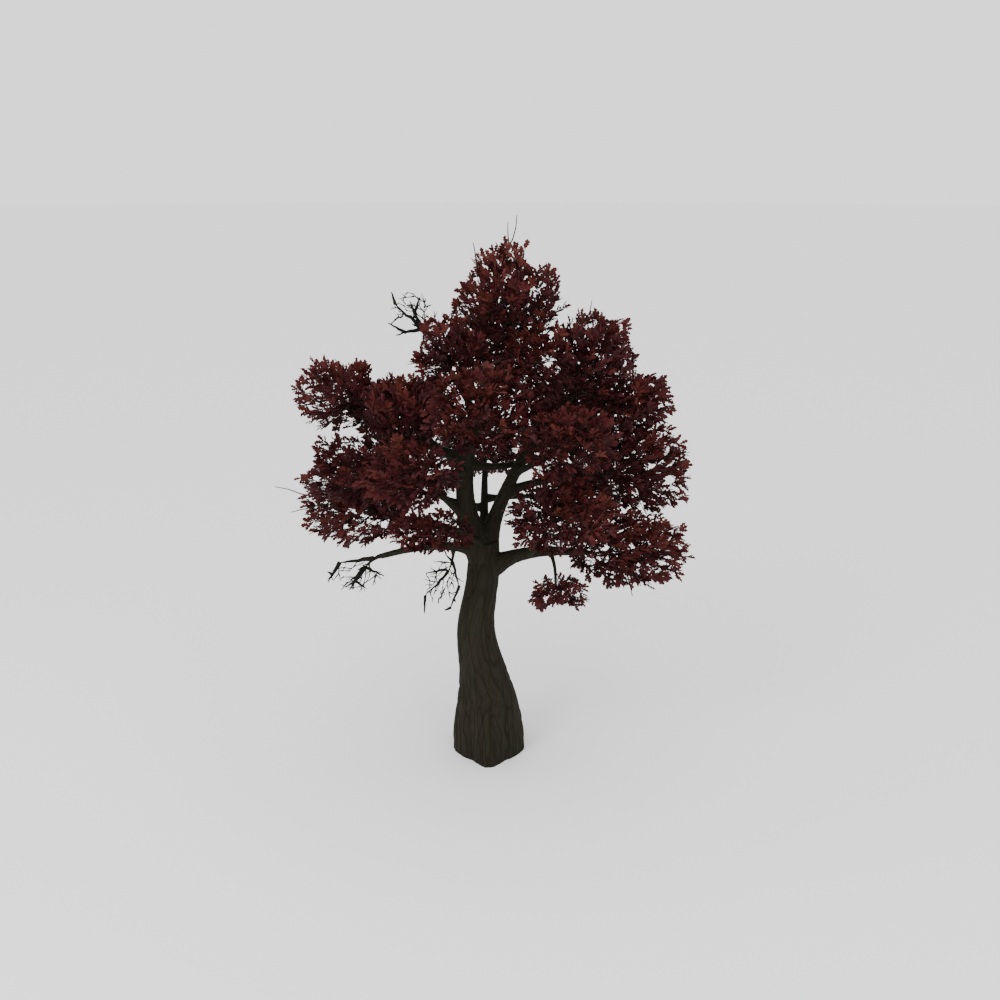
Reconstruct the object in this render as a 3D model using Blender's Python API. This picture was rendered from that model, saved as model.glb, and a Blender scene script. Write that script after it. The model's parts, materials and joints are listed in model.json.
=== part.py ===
"""A broad-crowned oak in red autumn leaf, at its real size.

Metres, +Z up. The origin is the middle of the trunk's flat cut at ground level, and the
tree is seen from the front along +Y. The trunk, each bough and each mass of foliage is
one object. Every mass keeps to its own space, a cell cut out of an ellipsoid, and is
twigs that branch from one stem, with leaves fused on that each stand for a spray.
"""

import math
import random
from collections import namedtuple

import bmesh
import bpy
import numpy as np
from mathutils import Matrix, Vector

# Driving sizes of the trunk
TRUNK_HEIGHT = 5.1
FOOT_RADIUS = 0.82
NECK_RADIUS = 0.30
FLARE_HEIGHT = 1.89
FLARE_POWER = 2.6
SWAY = -0.225
SWAY_HEIGHT = 2.96
SWAY_SPREAD = 1.01
LEAN = -0.10
FLUTE_DEPTH = 0.085
FLUTE_FADE = 2.2
TRUNK_SIDES = 24
TRUNK_RINGS = 12
SHOULDER_SHARE = 0.82

# Driving sizes of boughs
STATION_STEP = 0.5
FEWEST_STATIONS = 3
TAPER_POWER = 0.8
STOUT_RADIUS = 0.15
STOUT_SIDES = 8
LIMB_SIDES = 6

# Driving sizes of twigs. Costs and shares have no unit.
TWIG_SIDES = 3
TWIG_TIP_RADIUS = 0.018
TWIG_FOOT_SHARE = 1.25
TWIG_THICKENING = 2.3
MIDDLE_SHARE = 0.55
SHORT_TWIG = 0.8
SHORTEST_TWIG = 0.12
BEND_SHARE = 0.39
STRAIGHT_STEM = 0.15
STEM_SHARE = 0.8
STEM_REACH = 0.45
BRANCH_SHARE = 0.6
END_SHARE = 0.96
TURN_COST = 0.9
ROOT_COST = 0.15
BUD_TRIES = 40
BUD_LEAST = 0.45
BUD_INSET = 0.74
FLATTEST = 0.35
SAMPLE_STEP = 0.06

# A piece that meets another stops this far from it
CLEAR = 0.0003
CUTTER_CLEAR = 0.0006
LIMB_ROOM = 0.03
CELL_ROOM = 0.012

# Driving sizes of the leaves, each of which stands for a spray
LEAF_LENGTH = 0.92
LEAF_WIDTH = 0.50
LEAF_THICKNESS = 0.020
LEAF_WIDEST = 0.46
LEAF_SUNK = 0.02
LEAF_STEP = 0.13
LEAF_ROOM = 0.085
LEAF_TRIES = 16
LEAF_SIZES = (0.85, 1.08)
END_SPREAD = (0.0, 0.35)
SIDE_SPREAD = (0.5, 1.2)
OUTWARD_SHARE = 0.8
UPWARD_SHARE = 0.4
FACE_CHANCE = 0.5
LEAVES_PER_TWIG = 5
LEAF_SWELL = 1.04

# Each limb leaves its parent's centreline at a share of the parent's length and curves to its tip.
# leave and arrive are the curve's handles at the two ends.
Limb = namedtuple("Limb", "name parent share tip leave arrive foot_radius tip_radius")
LIMBS = [
    Limb("leader", "trunk", 0.93,
         (0.42, 0.2, 9.2), (-0.83, 0.0, 1.45), (0.77, 0.0, 1.35), 0.27, 0.085),
    Limb("right_stem", "trunk", 0.93,
         (1.75, 0.15, 8.2), (0.3, 0.15, 1.2), (0.95, -0.1, 0.95), 0.20, 0.075),
    Limb("bough_right_low", "trunk", 0.84,
         (2.1, -0.45, 4.95), (0.75, -0.2, 0.75), (0.6, -0.1, 0.0), 0.20, 0.07),
    Limb("bough_left_low", "trunk", 0.96,
         (-2.1, 0.15, 5.55), (-0.7, 0.25, 0.45), (-0.6, 0.0, 0.05), 0.13, 0.06),
    Limb("dead_bough_low", "trunk", 0.92,
         (-2.3, -0.7, 4.95), (-0.6, -0.45, 0.6), (-0.6, -0.1, -0.15), 0.12, 0.06),
    Limb("bough_front_low", "trunk", 0.97,
         (-0.75, -0.95, 5.5), (-0.1, -0.4, 0.3), (-0.15, -0.25, 0.1), 0.075, 0.045),
    Limb("bough_back_low", "trunk", 0.96,
         (-0.1, 2.2, 6.2), (0.0, 0.7, 0.45), (0.0, 0.6, 0.2), 0.13, 0.06),
    Limb("bough_left_diagonal", "leader", 0.17,
         (-1.7, -0.3, 7.0), (-0.35, -0.2, 0.45), (-0.3, 0.0, 0.45), 0.10, 0.055),
    Limb("bough_left_beam", "leader", 0.37,
         (-2.0, -0.35, 6.5), (-0.5, -0.05, 0.02), (-0.5, -0.1, 0.08), 0.13, 0.065),
    Limb("bough_front_left", "leader", 0.42,
         (-1.15, -1.7, 7.0), (-0.2, -0.5, 0.1), (-0.25, -0.35, 0.1), 0.09, 0.05),
    Limb("bough_back_left", "leader", 0.40,
         (-1.3, 1.3, 7.0), (-0.2, 0.5, 0.1), (-0.3, 0.3, 0.15), 0.10, 0.055),
    Limb("bough_right_beam", "leader", 0.45,
         (1.05, 0.55, 6.8), (0.5, 0.1, -0.12), (0.4, 0.15, 0.15), 0.10, 0.055),
    Limb("bough_wing", "leader", 0.48,
         (-2.6, 0.1, 7.8), (-0.7, 0.35, 0.1), (-0.6, -0.1, 0.35), 0.11, 0.055),
    Limb("bough_centre_front", "leader", 0.52,
         (-0.15, -1.1, 7.8), (0.05, -0.5, 0.15), (0.0, -0.35, 0.25), 0.09, 0.05),
    Limb("bough_back_top", "leader", 0.72,
         (0.15, 1.0, 8.6), (0.05, 0.35, 0.1), (0.0, 0.25, 0.2), 0.075, 0.05),
    Limb("dead_bough_upper", "leader", 0.68,
         (-1.15, 0.5, 9.35), (-0.3, 0.2, 0.4), (-0.3, 0.05, 0.5), 0.08, 0.05),
    Limb("bough_shoulder", "leader", 0.78,
         (-0.5, -0.15, 8.65), (-0.15, -0.15, 0.1), (-0.15, -0.05, 0.15), 0.06, 0.045),
    Limb("bough_upper_front", "leader", 0.84,
         (0.85, -0.35, 9.0), (0.15, -0.2, 0.12), (0.2, -0.1, 0.25), 0.06, 0.045),
    Limb("bough_right_mid", "right_stem", 0.36,
         (2.3, 0.3, 6.5), (0.5, 0.1, 0.35), (0.6, 0.0, 0.1), 0.11, 0.06),
    Limb("bough_front_right", "right_stem", 0.50,
         (1.25, -1.3, 7.3), (0.1, -0.5, 0.15), (0.15, -0.4, 0.15), 0.085, 0.05),
    Limb("bough_back_right", "right_stem", 0.56,
         (1.6, 1.65, 7.15), (0.1, 0.5, 0.1), (0.2, 0.4, 0.1), 0.09, 0.055),
    Limb("bough_right_upper", "right_stem", 0.68,
         (2.6, 0.3, 7.85), (0.45, 0.1, 0.1), (0.4, 0.05, 0.15), 0.09, 0.055),
    Limb("bough_right_front", "bough_right_low", 0.42,
         (1.2, -1.15, 5.65), (0.1, -0.35, 0.15), (0.05, -0.2, 0.3), 0.08, 0.045),
    Limb("bough_drop", "bough_right_low", 0.62,
         (1.45, -0.8, 4.45), (0.1, -0.2, -0.05), (0.0, -0.05, -0.2), 0.05, 0.035),
    Limb("dead_spur", "dead_bough_low", 0.30,
         (-0.76, -0.42, 4.88), (-0.02, -0.05, -0.04), (0.0, 0.0, -0.08), 0.045, 0.035),
    Limb("bough_back_left_low", "bough_back_low", 0.42,
         (-1.7, 1.85, 5.65), (-0.5, 0.2, 0.0), (-0.5, 0.1, 0.05), 0.08, 0.05),
    Limb("bough_back_right_low", "bough_back_low", 0.52,
         (1.4, 2.0, 5.5), (0.5, 0.2, 0.0), (0.5, 0.1, 0.0), 0.08, 0.05),
]

# Each mass grows from its bough's tip and fills an ellipsoid with this centre and these half sizes.
# twigs is how many twigs it has, and spires are the ends of leafless ones that stand out beyond the leaves.
Mass = namedtuple("Mass", "name bough centre reach twigs spires")
MASSES = [
    Mass("foliage_top", "leader", (0.45, 0.2, 10.3), (1.35, 1.25, 1.4), 9,
         [(0.6, 0.2, 12.0), (0.42, 0.25, 11.85), (-0.3, 0.3, 11.45)]),
    Mass("foliage_upper_front", "bough_upper_front", (1.0, -0.7, 9.1), (1.0, 1.0, 1.1), 4, []),
    Mass("foliage_upper_right", "right_stem", (2.3, 0.1, 9.05), (1.25, 1.2, 1.3), 6, [(2.15, 0.0, 10.3)]),
    Mass("foliage_right_upper", "bough_right_upper", (3.0, 0.2, 8.15), (1.15, 1.2, 1.05), 5, []),
    Mass("foliage_right_mid", "bough_right_mid", (3.35, 0.3, 6.65), (1.35, 1.3, 1.25), 7, []),
    Mass("foliage_right_low", "bough_right_low", (3.05, -0.5, 5.05), (1.6, 1.2, 1.05), 7,
         [(3.15, -0.5, 3.95)]),
    Mass("foliage_right_front", "bough_right_front", (1.5, -1.6, 6.1), (1.4, 1.15, 0.95), 6, []),
    Mass("foliage_drop", "bough_drop", (1.5, -0.9, 4.2), (0.85, 0.75, 0.6), 3, [(1.15, -0.95, 3.75)]),
    Mass("foliage_centre_right", "bough_right_beam", (1.5, 0.85, 7.4), (1.0, 0.9, 0.95), 4, []),
    Mass("foliage_centre_front", "bough_centre_front", (-0.1, -1.6, 8.35), (1.4, 1.2, 1.15), 7, []),
    Mass("foliage_shoulder", "bough_shoulder", (-0.75, -0.3, 9.25), (1.05, 1.0, 1.0), 4, []),
    Mass("foliage_left_upper", "bough_left_diagonal", (-1.8, -0.35, 8.0), (1.15, 1.1, 1.0), 5, []),
    Mass("foliage_wing", "bough_wing", (-3.15, 0.1, 8.3), (1.15, 1.1, 1.05), 5, []),
    Mass("foliage_left_mid", "bough_left_beam", (-2.7, -0.75, 6.85), (1.6, 1.2, 0.95), 6,
         [(-4.1, -0.4, 7.4)]),
    Mass("foliage_left_low", "bough_left_low", (-2.9, 0.3, 5.65), (1.45, 1.15, 0.95), 6,
         [(-4.62, 0.0, 6.3), (-4.3, -0.1, 5.75)]),
    Mass("foliage_front_low", "bough_front_low", (-1.1, -1.45, 5.75), (1.15, 0.9, 0.6), 4, []),
    Mass("foliage_front_right", "bough_front_right", (1.6, -1.95, 7.75), (1.2, 1.15, 1.0), 5, []),
    Mass("foliage_front_left", "bough_front_left", (-1.5, -2.4, 7.25), (1.2, 1.1, 0.9), 5, []),
    Mass("foliage_back_left", "bough_back_left", (-1.9, 1.9, 7.4), (1.4, 1.3, 1.2), 6, []),
    Mass("foliage_back_right", "bough_back_right", (2.1, 2.3, 7.4), (1.4, 1.35, 1.3), 6, []),
    Mass("foliage_back_top", "bough_back_top", (0.2, 1.65, 9.0), (1.3, 1.2, 1.2), 6, []),
    Mass("foliage_back_low", "bough_back_low", (-0.1, 3.05, 6.5), (1.5, 1.25, 1.0), 6, []),
    Mass("foliage_back_left_low", "bough_back_left_low", (-2.5, 2.1, 5.7), (1.25, 1.2, 0.95), 5, []),
    Mass("foliage_back_right_low", "bough_back_right_low", (2.2, 2.35, 5.5), (1.35, 1.25, 0.95), 5, []),
    Mass("bare_upper_left", "dead_bough_upper", (-1.6, 0.55, 9.85), (0.6, 0.45, 0.65), 7,
         [(-2.03, 0.55, 10.42), (-2.12, 0.5, 9.77), (-1.43, 0.6, 10.31), (-1.01, 0.5, 10.29)]),
    Mass("bare_low_left", "dead_bough_low", (-2.85, -0.8, 4.5), (0.7, 0.4, 0.4), 6,
         [(-3.45, -0.75, 4.62), (-3.05, -0.8, 4.3), (-2.62, -0.8, 4.25)]),
    Mass("bare_hanging", "dead_spur", (-1.0, -0.45, 4.25), (0.5, 0.35, 0.7), 7,
         [(-1.41, -0.4, 3.5), (-0.96, -0.5, 3.62), (-0.72, -0.45, 3.8)]),
]

# A twig's path, the number of the twig that it grows from, and whether it bears leaves
Twig = namedtuple("Twig", "path parent leafy")

# Surface colours, roughness and metallic value
FINISHES = {
    "bark": ((0.032, 0.028, 0.019), 0.9, 0.0),
    "dead_twigs": ((0.022, 0.021, 0.015), 0.9, 0.0),
    "foliage": ((0.075, 0.016, 0.013), 0.7, 0.0),
}


def clear_scene():
    for obj in list(bpy.data.objects):
        bpy.data.objects.remove(obj, do_unlink=True)


def material(name):
    found = bpy.data.materials.get(name)
    if found:
        return found
    colour, roughness, metallic = FINISHES[name]
    made = bpy.data.materials.new(name)
    made.use_nodes = True
    shader = made.node_tree.nodes["Principled BSDF"]
    shader.inputs["Base Color"].default_value = (*colour, 1.0)
    shader.inputs["Roughness"].default_value = roughness
    shader.inputs["Metallic"].default_value = metallic
    return made


def add_object(name, bm, finish):
    """A new object of this mesh, with its normals turned outwards."""
    bmesh.ops.recalc_face_normals(bm, faces=bm.faces)
    mesh = bpy.data.meshes.new(name)
    bm.to_mesh(mesh)
    bm.free()
    mesh.materials.append(material(finish))
    obj = bpy.data.objects.new(name, mesh)
    bpy.context.scene.collection.objects.link(obj)
    return obj


# Centrelines and radii


def trunk_centre(height):
    """The trunk leans a little and sways to the left above its flare."""
    sway = SWAY * math.exp(-(((height - SWAY_HEIGHT) / SWAY_SPREAD) ** 2))
    foot = SWAY * math.exp(-((SWAY_HEIGHT / SWAY_SPREAD) ** 2))
    return Vector((LEAN * height / TRUNK_HEIGHT + sway - foot, 0.0, height))


def trunk_radius(height):
    flare = 1.0 / (1.0 + (height / FLARE_HEIGHT) ** FLARE_POWER)
    return NECK_RADIUS + (FOOT_RADIUS - NECK_RADIUS) * flare


def flute(angle, height):
    """Root buttresses: the share by which the round trunk swells or hollows at this angle."""
    waves = 0.6 * math.sin(3 * angle) - math.sin(5 * angle) + 0.4 * math.cos(8 * angle)
    waves -= 0.5 * math.cos(2 * angle)
    return FLUTE_DEPTH * math.exp(-height / FLUTE_FADE) * waves


def curve_point(limb, share):
    """A point of the limb's cubic curve."""
    start = limb_start(limb)
    end = Vector(limb.tip)
    first, second = start + Vector(limb.leave), end - Vector(limb.arrive)
    rest = 1.0 - share
    return (
        rest**3 * start
        + 3 * rest * rest * share * first
        + 3 * rest * share * share * second
        + share**3 * end
    )


def limb_start(limb):
    if limb.parent == "trunk":
        return trunk_centre(limb.share * TRUNK_HEIGHT)
    return curve_point(BY_NAME[limb.parent], limb.share)


def limb_radius(limb, share):
    return limb.foot_radius + (limb.tip_radius - limb.foot_radius) * share**TAPER_POWER


BY_NAME = {limb.name: limb for limb in LIMBS}


# Tubes


def frames_along(points):
    """A turning-free frame at each point of a path, as matrices whose Z runs along the path."""
    frames = []
    across = None
    for i, point in enumerate(points):
        before, after = points[max(i - 1, 0)], points[min(i + 1, len(points) - 1)]
        along = (after - before).normalized()
        if across is None:
            across = along.orthogonal().normalized()
        across = (across - along * across.dot(along)).normalized()
        axes = Matrix((across, along.cross(across), along)).transposed().to_4x4()
        frames.append(Matrix.Translation(point) @ axes)
    return frames


def close_tube(bm, rings):
    """Walls between neighbouring rings of points, and a flat cap at each end."""
    for low, high in zip(rings, rings[1:]):
        for i, corner in enumerate(low):
            bm.faces.new((corner, low[i - 1], high[i - 1], high[i]))
    bm.faces.new(rings[0])
    bm.faces.new(reversed(rings[-1]))


def add_tube(bm, points, radii, sides):
    rings = []
    for frame, radius in zip(frames_along(points), radii):
        ring = bmesh.ops.create_circle(bm, segments=sides, radius=radius, matrix=frame)
        rings.append(ring["verts"])
    close_tube(bm, rings)


def trunk_mesh(grown=0.0):
    """The trunk with its flare, flutes and rounded shoulder; grown makes it that much thicker all round."""
    bm = bmesh.new()
    rings = []
    for i in range(TRUNK_RINGS + 1):
        height = TRUNK_HEIGHT * i / TRUNK_RINGS
        shoulder = SHOULDER_SHARE if i == TRUNK_RINGS else 1.0
        ring = bmesh.ops.create_circle(bm, segments=TRUNK_SIDES, radius=1.0)["verts"]
        centre = trunk_centre(height)
        for corner in ring:
            angle = math.atan2(corner.co.y, corner.co.x)
            reach = trunk_radius(height) * shoulder * (1.0 + flute(angle, height)) + grown
            up = grown if i == TRUNK_RINGS else 0.0
            corner.co = centre + Vector((math.cos(angle) * reach, math.sin(angle) * reach, up))
        rings.append(ring)
    close_tube(bm, rings)
    return bm


def limb_shares(limb):
    """Where along the limb its rings stand."""
    length = (Vector(limb.tip) - limb_start(limb)).length
    stations = max(FEWEST_STATIONS, round(length / STATION_STEP))
    return [i / stations for i in range(stations + 1)]


def limb_heading(limb):
    """The way in which the limb's flat end faces."""
    return (Vector(limb.tip) - curve_point(limb, limb_shares(limb)[-2])).normalized()


def limb_mesh(limb, grown=0.0):
    shares = limb_shares(limb)
    bm = bmesh.new()
    sides = STOUT_SIDES if limb.foot_radius > STOUT_RADIUS else LIMB_SIDES
    radii = [limb_radius(limb, share) + grown for share in shares]
    add_tube(bm, [curve_point(limb, share) for share in shares], radii, sides)
    return bm


# Booleans


def pieces_of(bm):
    """The faces of each separate shell of the mesh, the largest shell first."""
    left = set(bm.faces)
    shells = []
    while left:
        todo = [left.pop()]
        shell = []
        while todo:
            face = todo.pop()
            shell.append(face)
            near = {other for edge in face.edges for other in edge.link_faces} & left
            left -= near
            todo.extend(near)
        shells.append(shell)
    return sorted(shells, key=len, reverse=True)


def apply_modifiers(obj):
    """The object keeps the mesh that its modifiers make, without loose scraps."""
    graph = bpy.context.evaluated_depsgraph_get()
    made = bpy.data.meshes.new_from_object(obj.evaluated_get(graph))
    obj.modifiers.clear()
    obj.data = made
    bm = bmesh.new()
    bm.from_mesh(made)
    for scrap in pieces_of(bm)[1:]:
        bmesh.ops.delete(bm, geom=scrap, context="FACES")
    bm.to_mesh(made)
    bm.free()


def cut_clear_of(obj, cutters):
    """Cuts the object back from pieces that it meets, a hair clear of them."""
    for cutter in cutters:
        cut = obj.modifiers.new("cut", "BOOLEAN")
        cut.operation = "DIFFERENCE"
        cut.object = cutter
    apply_modifiers(obj)
    for cutter in cutters:
        bpy.data.objects.remove(cutter, do_unlink=True)


def fuse(name, parts, finish):
    """One closed mesh of many: a Boolean union of the first part with a collection of the others."""
    body = add_object(name, parts[0], finish)
    if len(parts) == 1:
        return body
    group = bpy.data.collections.new(name + "_parts")
    for part in parts[1:]:
        helper = add_object(name + "_part", part, finish)
        bpy.context.scene.collection.objects.unlink(helper)
        group.objects.link(helper)
    bpy.context.scene.collection.children.link(group)
    union = body.modifiers.new("union", "BOOLEAN")
    union.operation = "UNION"
    union.operand_type = "COLLECTION"
    union.collection = group
    union.solver = "MANIFOLD"
    apply_modifiers(body)
    for helper in list(group.objects):
        bpy.data.objects.remove(helper, do_unlink=True)
    bpy.data.collections.remove(group)
    return body


# Room round the limbs and between the masses


def limb_segments():
    """The limbs and the trunk as short capsules: ends and radii, in arrays."""
    starts, ends, radii = [], [], []
    for i in range(TRUNK_RINGS):
        low, high = (TRUNK_HEIGHT * n / TRUNK_RINGS for n in (i, i + 1))
        starts.append(trunk_centre(low))
        ends.append(trunk_centre(high))
        radii.append(trunk_radius(low) * (1.0 + FLUTE_DEPTH * math.exp(-low / FLUTE_FADE)))
    for limb in LIMBS:
        shares = limb_shares(limb)
        for low, high in zip(shares, shares[1:]):
            starts.append(curve_point(limb, low))
            ends.append(curve_point(limb, high))
            radii.append(limb_radius(limb, low))
    return np.array(starts), np.array(ends), np.array(radii)


SEGMENTS = limb_segments()


def limb_clearance(points):
    """How far the nearest of these points is from the surface of any limb."""
    starts, ends, radii = SEGMENTS
    along = ends - starts
    offset = np.array(points)[:, None, :] - starts
    share = np.clip((offset * along).sum(axis=2) / (along * along).sum(axis=1), 0.0, 1.0)
    gap = np.linalg.norm(offset - share[..., None] * along, axis=2) - radii
    return gap.min()


def in_cell(mass, points, room):
    """Whether all the points lie in the part of space that is the mass's own."""
    points = np.array(points)
    centre = np.array(mass.centre)
    own = ((points - centre) ** 2).sum(axis=1) - np.mean(mass.reach) ** 2
    for other in MASSES:
        if other.name == mass.name:
            continue
        away = np.array(other.centre)
        theirs = ((points - away) ** 2).sum(axis=1) - np.mean(other.reach) ** 2
        if ((theirs - own) / (2 * np.linalg.norm(away - centre)) < room).any():
            return False
    return True


def in_ellipsoid(mass, points):
    shares = (np.array(points) - np.array(mass.centre)) / (np.array(mass.reach) * LEAF_SWELL)
    return ((shares**2).sum(axis=1) <= 1.0).all()


# The rule by which twigs branch


def is_bare(mass):
    return mass.name.startswith("bare")


def scatter_buds(mass, inset, rng):
    """Bud points spread evenly: each is the best of several tries, the one furthest from the others."""
    reach = [max(side - inset, side * FLATTEST) for side in mass.reach]
    buds = []
    for _ in range(mass.twigs):
        best, best_gap = None, -1.0
        for _ in range(BUD_TRIES):
            direction = Vector([rng.gauss(0, 1) for _ in range(3)]).normalized()
            share = rng.uniform(BUD_LEAST, 1.0) ** (1 / 3)
            bud = Vector([c + d * r * share for c, d, r in zip(mass.centre, direction, reach)])
            if not in_cell(mass, [bud], CELL_ROOM):
                continue
            gap = min([(bud - other).length for other in buds], default=1.0)
            if gap > best_gap:
                best, best_gap = bud, gap
        if best is not None:
            buds.append(best)
    return buds


def twig_path(node, heading, bud):
    """A long twig leaves its node partly along the older twig and bends towards its bud."""
    reach = (bud - node).length
    if reach < SHORT_TWIG:
        return [node, bud]
    towards = (bud - node).normalized()
    bend = node + ((heading + towards).normalized() + towards) * reach * BEND_SHARE / 2
    return [node, bend, bud]


def samples_along(points):
    found = []
    for low, high in zip(points, points[1:]):
        count = max(2, math.ceil((high - low).length / SAMPLE_STEP))
        found += [low.lerp(high, i / count) for i in range(count + 1)]
    return found


def twig_fits(mass, path):
    """Clear of every limb, and in the mass's own cell."""
    samples = samples_along(path)
    inside = in_cell(mass, samples, CELL_ROOM + TWIG_TIP_RADIUS)
    return inside and limb_clearance(samples) > LIMB_ROOM + TWIG_TIP_RADIUS


def grow_twigs(mass):
    """The mass's stem and its twigs. Each bud joins the node that costs least in length and in turning."""
    rng = random.Random(mass.name + " twigs")
    bough = BY_NAME[mass.bough]
    heading = limb_heading(bough)
    root = Vector(bough.tip) + heading * CLEAR
    first = root + heading * STRAIGHT_STEM
    stem_end = first.lerp(Vector(mass.centre), STEM_REACH)
    twigs = [Twig([root, first, stem_end], None, True)]
    nodes = [(first, heading, 0), (stem_end, (stem_end - first).normalized(), 0)]
    buds = scatter_buds(mass, 0.0 if is_bare(mass) else BUD_INSET, rng)
    buds.sort(key=lambda bud: (bud - root).length)
    for bud, leafy in [(bud, True) for bud in buds] + [(Vector(end), False) for end in mass.spires]:

        def cost(node):
            place, direction, _ = node
            towards = bud - place
            turn = 1.0 - direction.dot(towards.normalized())
            return towards.length * (1.0 + TURN_COST * turn) + ROOT_COST * (place - root).length

        place, direction, parent = min(nodes, key=cost)
        path = twig_path(place, direction, bud)
        if (bud - place).length < SHORTEST_TWIG or not twig_fits(mass, path):
            continue
        twigs.append(Twig(path, parent, leafy))
        if leafy:
            start, end = path[1] - path[0], path[-1] - path[-2]
            nodes.append((path[0] + start * BRANCH_SHARE, start.normalized(), len(twigs) - 1))
            nodes.append((path[-2] + end * END_SHARE, end.normalized(), len(twigs) - 1))
    return twigs


def foot_radii(mass, twigs):
    """By the pipe rule a twig is as thick at its foot as all that it carries."""
    carried = [1.0] * len(twigs)
    for index in range(len(twigs) - 1, 0, -1):
        carried[twigs[index].parent] += carried[index]
    stem = BY_NAME[mass.bough].tip_radius * STEM_SHARE
    slim = TWIG_TIP_RADIUS * TWIG_FOOT_SHARE
    return [stem] + [min(stem, slim * count ** (1 / TWIG_THICKENING)) for count in carried[1:]]


def twig_mesh(path, foot):
    shares = (1.0, MIDDLE_SHARE, 0.0) if len(path) == 3 else (1.0, 0.0)
    radii = [TWIG_TIP_RADIUS + (foot - TWIG_TIP_RADIUS) * share for share in shares]
    bm = bmesh.new()
    add_tube(bm, path, radii, TWIG_SIDES)
    return bm


# Leaves


def leaf_corners(root, direction, face, length):
    """A thin blade of eight faces: base, two sides, tip, and a raised middle on each face."""
    side = direction.cross(face).normalized()
    face = side.cross(direction).normalized()
    width, thickness = length * LEAF_WIDTH / 2, LEAF_THICKNESS / 2
    middle = root + direction * length * LEAF_WIDEST
    outline = [root, middle + side * width, root + direction * length, middle - side * width]
    return outline, middle + face * thickness, middle - face * thickness


def leaf_samples(outline):
    """Points spread over the blade."""
    base, left, tip, right = outline
    samples = []
    for along in (0.2, 0.35, 0.5, 0.65, 0.8, 1.0):
        middle = base.lerp(tip, along)
        share = min(along / LEAF_WIDEST, (1 - along) / (1 - LEAF_WIDEST))
        half = (left - right) * 0.5 * share
        samples += [middle, middle + half * 0.5, middle - half * 0.5, middle + half, middle - half]
    return samples


def leaf_mesh(outline, top, bottom):
    bm = bmesh.new()
    rim = [bm.verts.new(corner) for corner in outline]
    for apex in (bm.verts.new(top), bm.verts.new(bottom)):
        for i, corner in enumerate(rim):
            bm.faces.new((rim[i - 1], corner, apex))
    return bm


def try_leaf(mass, path, place, rng):
    """A leaf at a chance angle, its root sunk in the twig at one of the places along it."""
    along = (path[-1] - path[-2]).normalized()
    root = path[-1] - along * (LEAF_SUNK + place * LEAF_STEP)
    spread = rng.uniform(*END_SPREAD) if place == 0 else rng.uniform(*SIDE_SPREAD)
    aside = Vector([rng.gauss(0, 1) for _ in range(3)])
    aside = (aside - along * aside.dot(along)).normalized()
    direction = along * math.cos(spread) + aside * math.sin(spread)
    outwards = (root - Vector(mass.centre)).normalized()
    face = outwards * OUTWARD_SHARE + Vector((0, 0, UPWARD_SHARE))
    face += Vector([rng.gauss(0, FACE_CHANCE) for _ in range(3)])
    length = LEAF_LENGTH * min(1.0, min(mass.reach)) * rng.uniform(*LEAF_SIZES)
    return leaf_corners(root, direction, face, length)


def least_gap(points, others):
    """The least distance between two sets of points."""
    offsets = np.array(points)[:, None, :] - others
    return math.sqrt((offsets**2).sum(axis=2).min())


def leaves_of(mass, twigs):
    """Leaves round the twigs' ends: of several tries that cross nothing, the one in the widest gap."""
    rng = random.Random(mass.name + " leaves")
    samples_of = [np.array(samples_along(twig.path)) for twig in twigs]
    meshes, middles, blades = [], [], []
    for place in range(LEAVES_PER_TWIG):
        for index, twig in enumerate(twigs):
            if not twig.leafy or (twig.path[-1] - twig.path[-2]).length < place * LEAF_STEP:
                continue
            others = np.concatenate([found for i, found in enumerate(samples_of) if i != index] + blades)
            best, best_gap = None, 0.0
            for _ in range(LEAF_TRIES):
                outline, top, bottom = try_leaf(mass, twig.path, place, rng)
                samples = leaf_samples(outline)
                middle = outline[0].lerp(outline[2], 0.5)
                gap = min([(middle - other).length for other in middles], default=1.0)
                if gap < best_gap or not in_cell(mass, samples, CELL_ROOM + LEAF_THICKNESS / 2):
                    continue
                if not in_ellipsoid(mass, samples) or limb_clearance(samples) < LIMB_ROOM:
                    continue
                if least_gap(samples, others) > LEAF_ROOM:
                    best, best_gap = (outline, top, bottom, samples, middle), gap
            if best:
                meshes.append(leaf_mesh(*best[:3]))
                blades.append(np.array(best[3]))
                middles.append(best[4])
    return meshes


def build_trunk():
    return add_object("trunk", trunk_mesh(), "bark")


def build_limb(limb, earlier):
    """A bough, cut clear of the trunk and of every earlier limb that its box meets."""
    obj = add_object(limb.name, limb_mesh(limb), "bark")
    low = np.min([corner.co for corner in obj.data.vertices], axis=0)
    high = np.max([corner.co for corner in obj.data.vertices], axis=0)
    cutters = []
    for other in earlier:
        bm = trunk_mesh(CUTTER_CLEAR) if other == "trunk" else limb_mesh(BY_NAME[other], CUTTER_CLEAR)
        corners = np.array([corner.co for corner in bm.verts])
        if (corners.min(axis=0) < high).all() and (corners.max(axis=0) > low).all():
            cutters.append(add_object(other + "_cutter", bm, "bark"))
        else:
            bm.free()
    cut_clear_of(obj, cutters)


def build_mass(mass):
    twigs = grow_twigs(mass)
    parts = [twig_mesh(twig.path, foot) for twig, foot in zip(twigs, foot_radii(mass, twigs))]
    leaves = [] if is_bare(mass) else leaves_of(mass, twigs)
    obj = fuse(mass.name, parts + leaves, "dead_twigs" if is_bare(mass) else "foliage")
    obj.data.calc_loop_triangles()
    print(mass.name, len(twigs), "twigs", len(leaves), "leaves", len(obj.data.loop_triangles), "triangles")
    return len(leaves)


def main():
    clear_scene()
    build_trunk()
    earlier = ["trunk"]
    for limb in LIMBS:
        build_limb(limb, earlier)
        earlier.append(limb.name)
    leaves = sum(build_mass(mass) for mass in MASSES)
    print("leaves in all:", leaves)


main()
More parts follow.
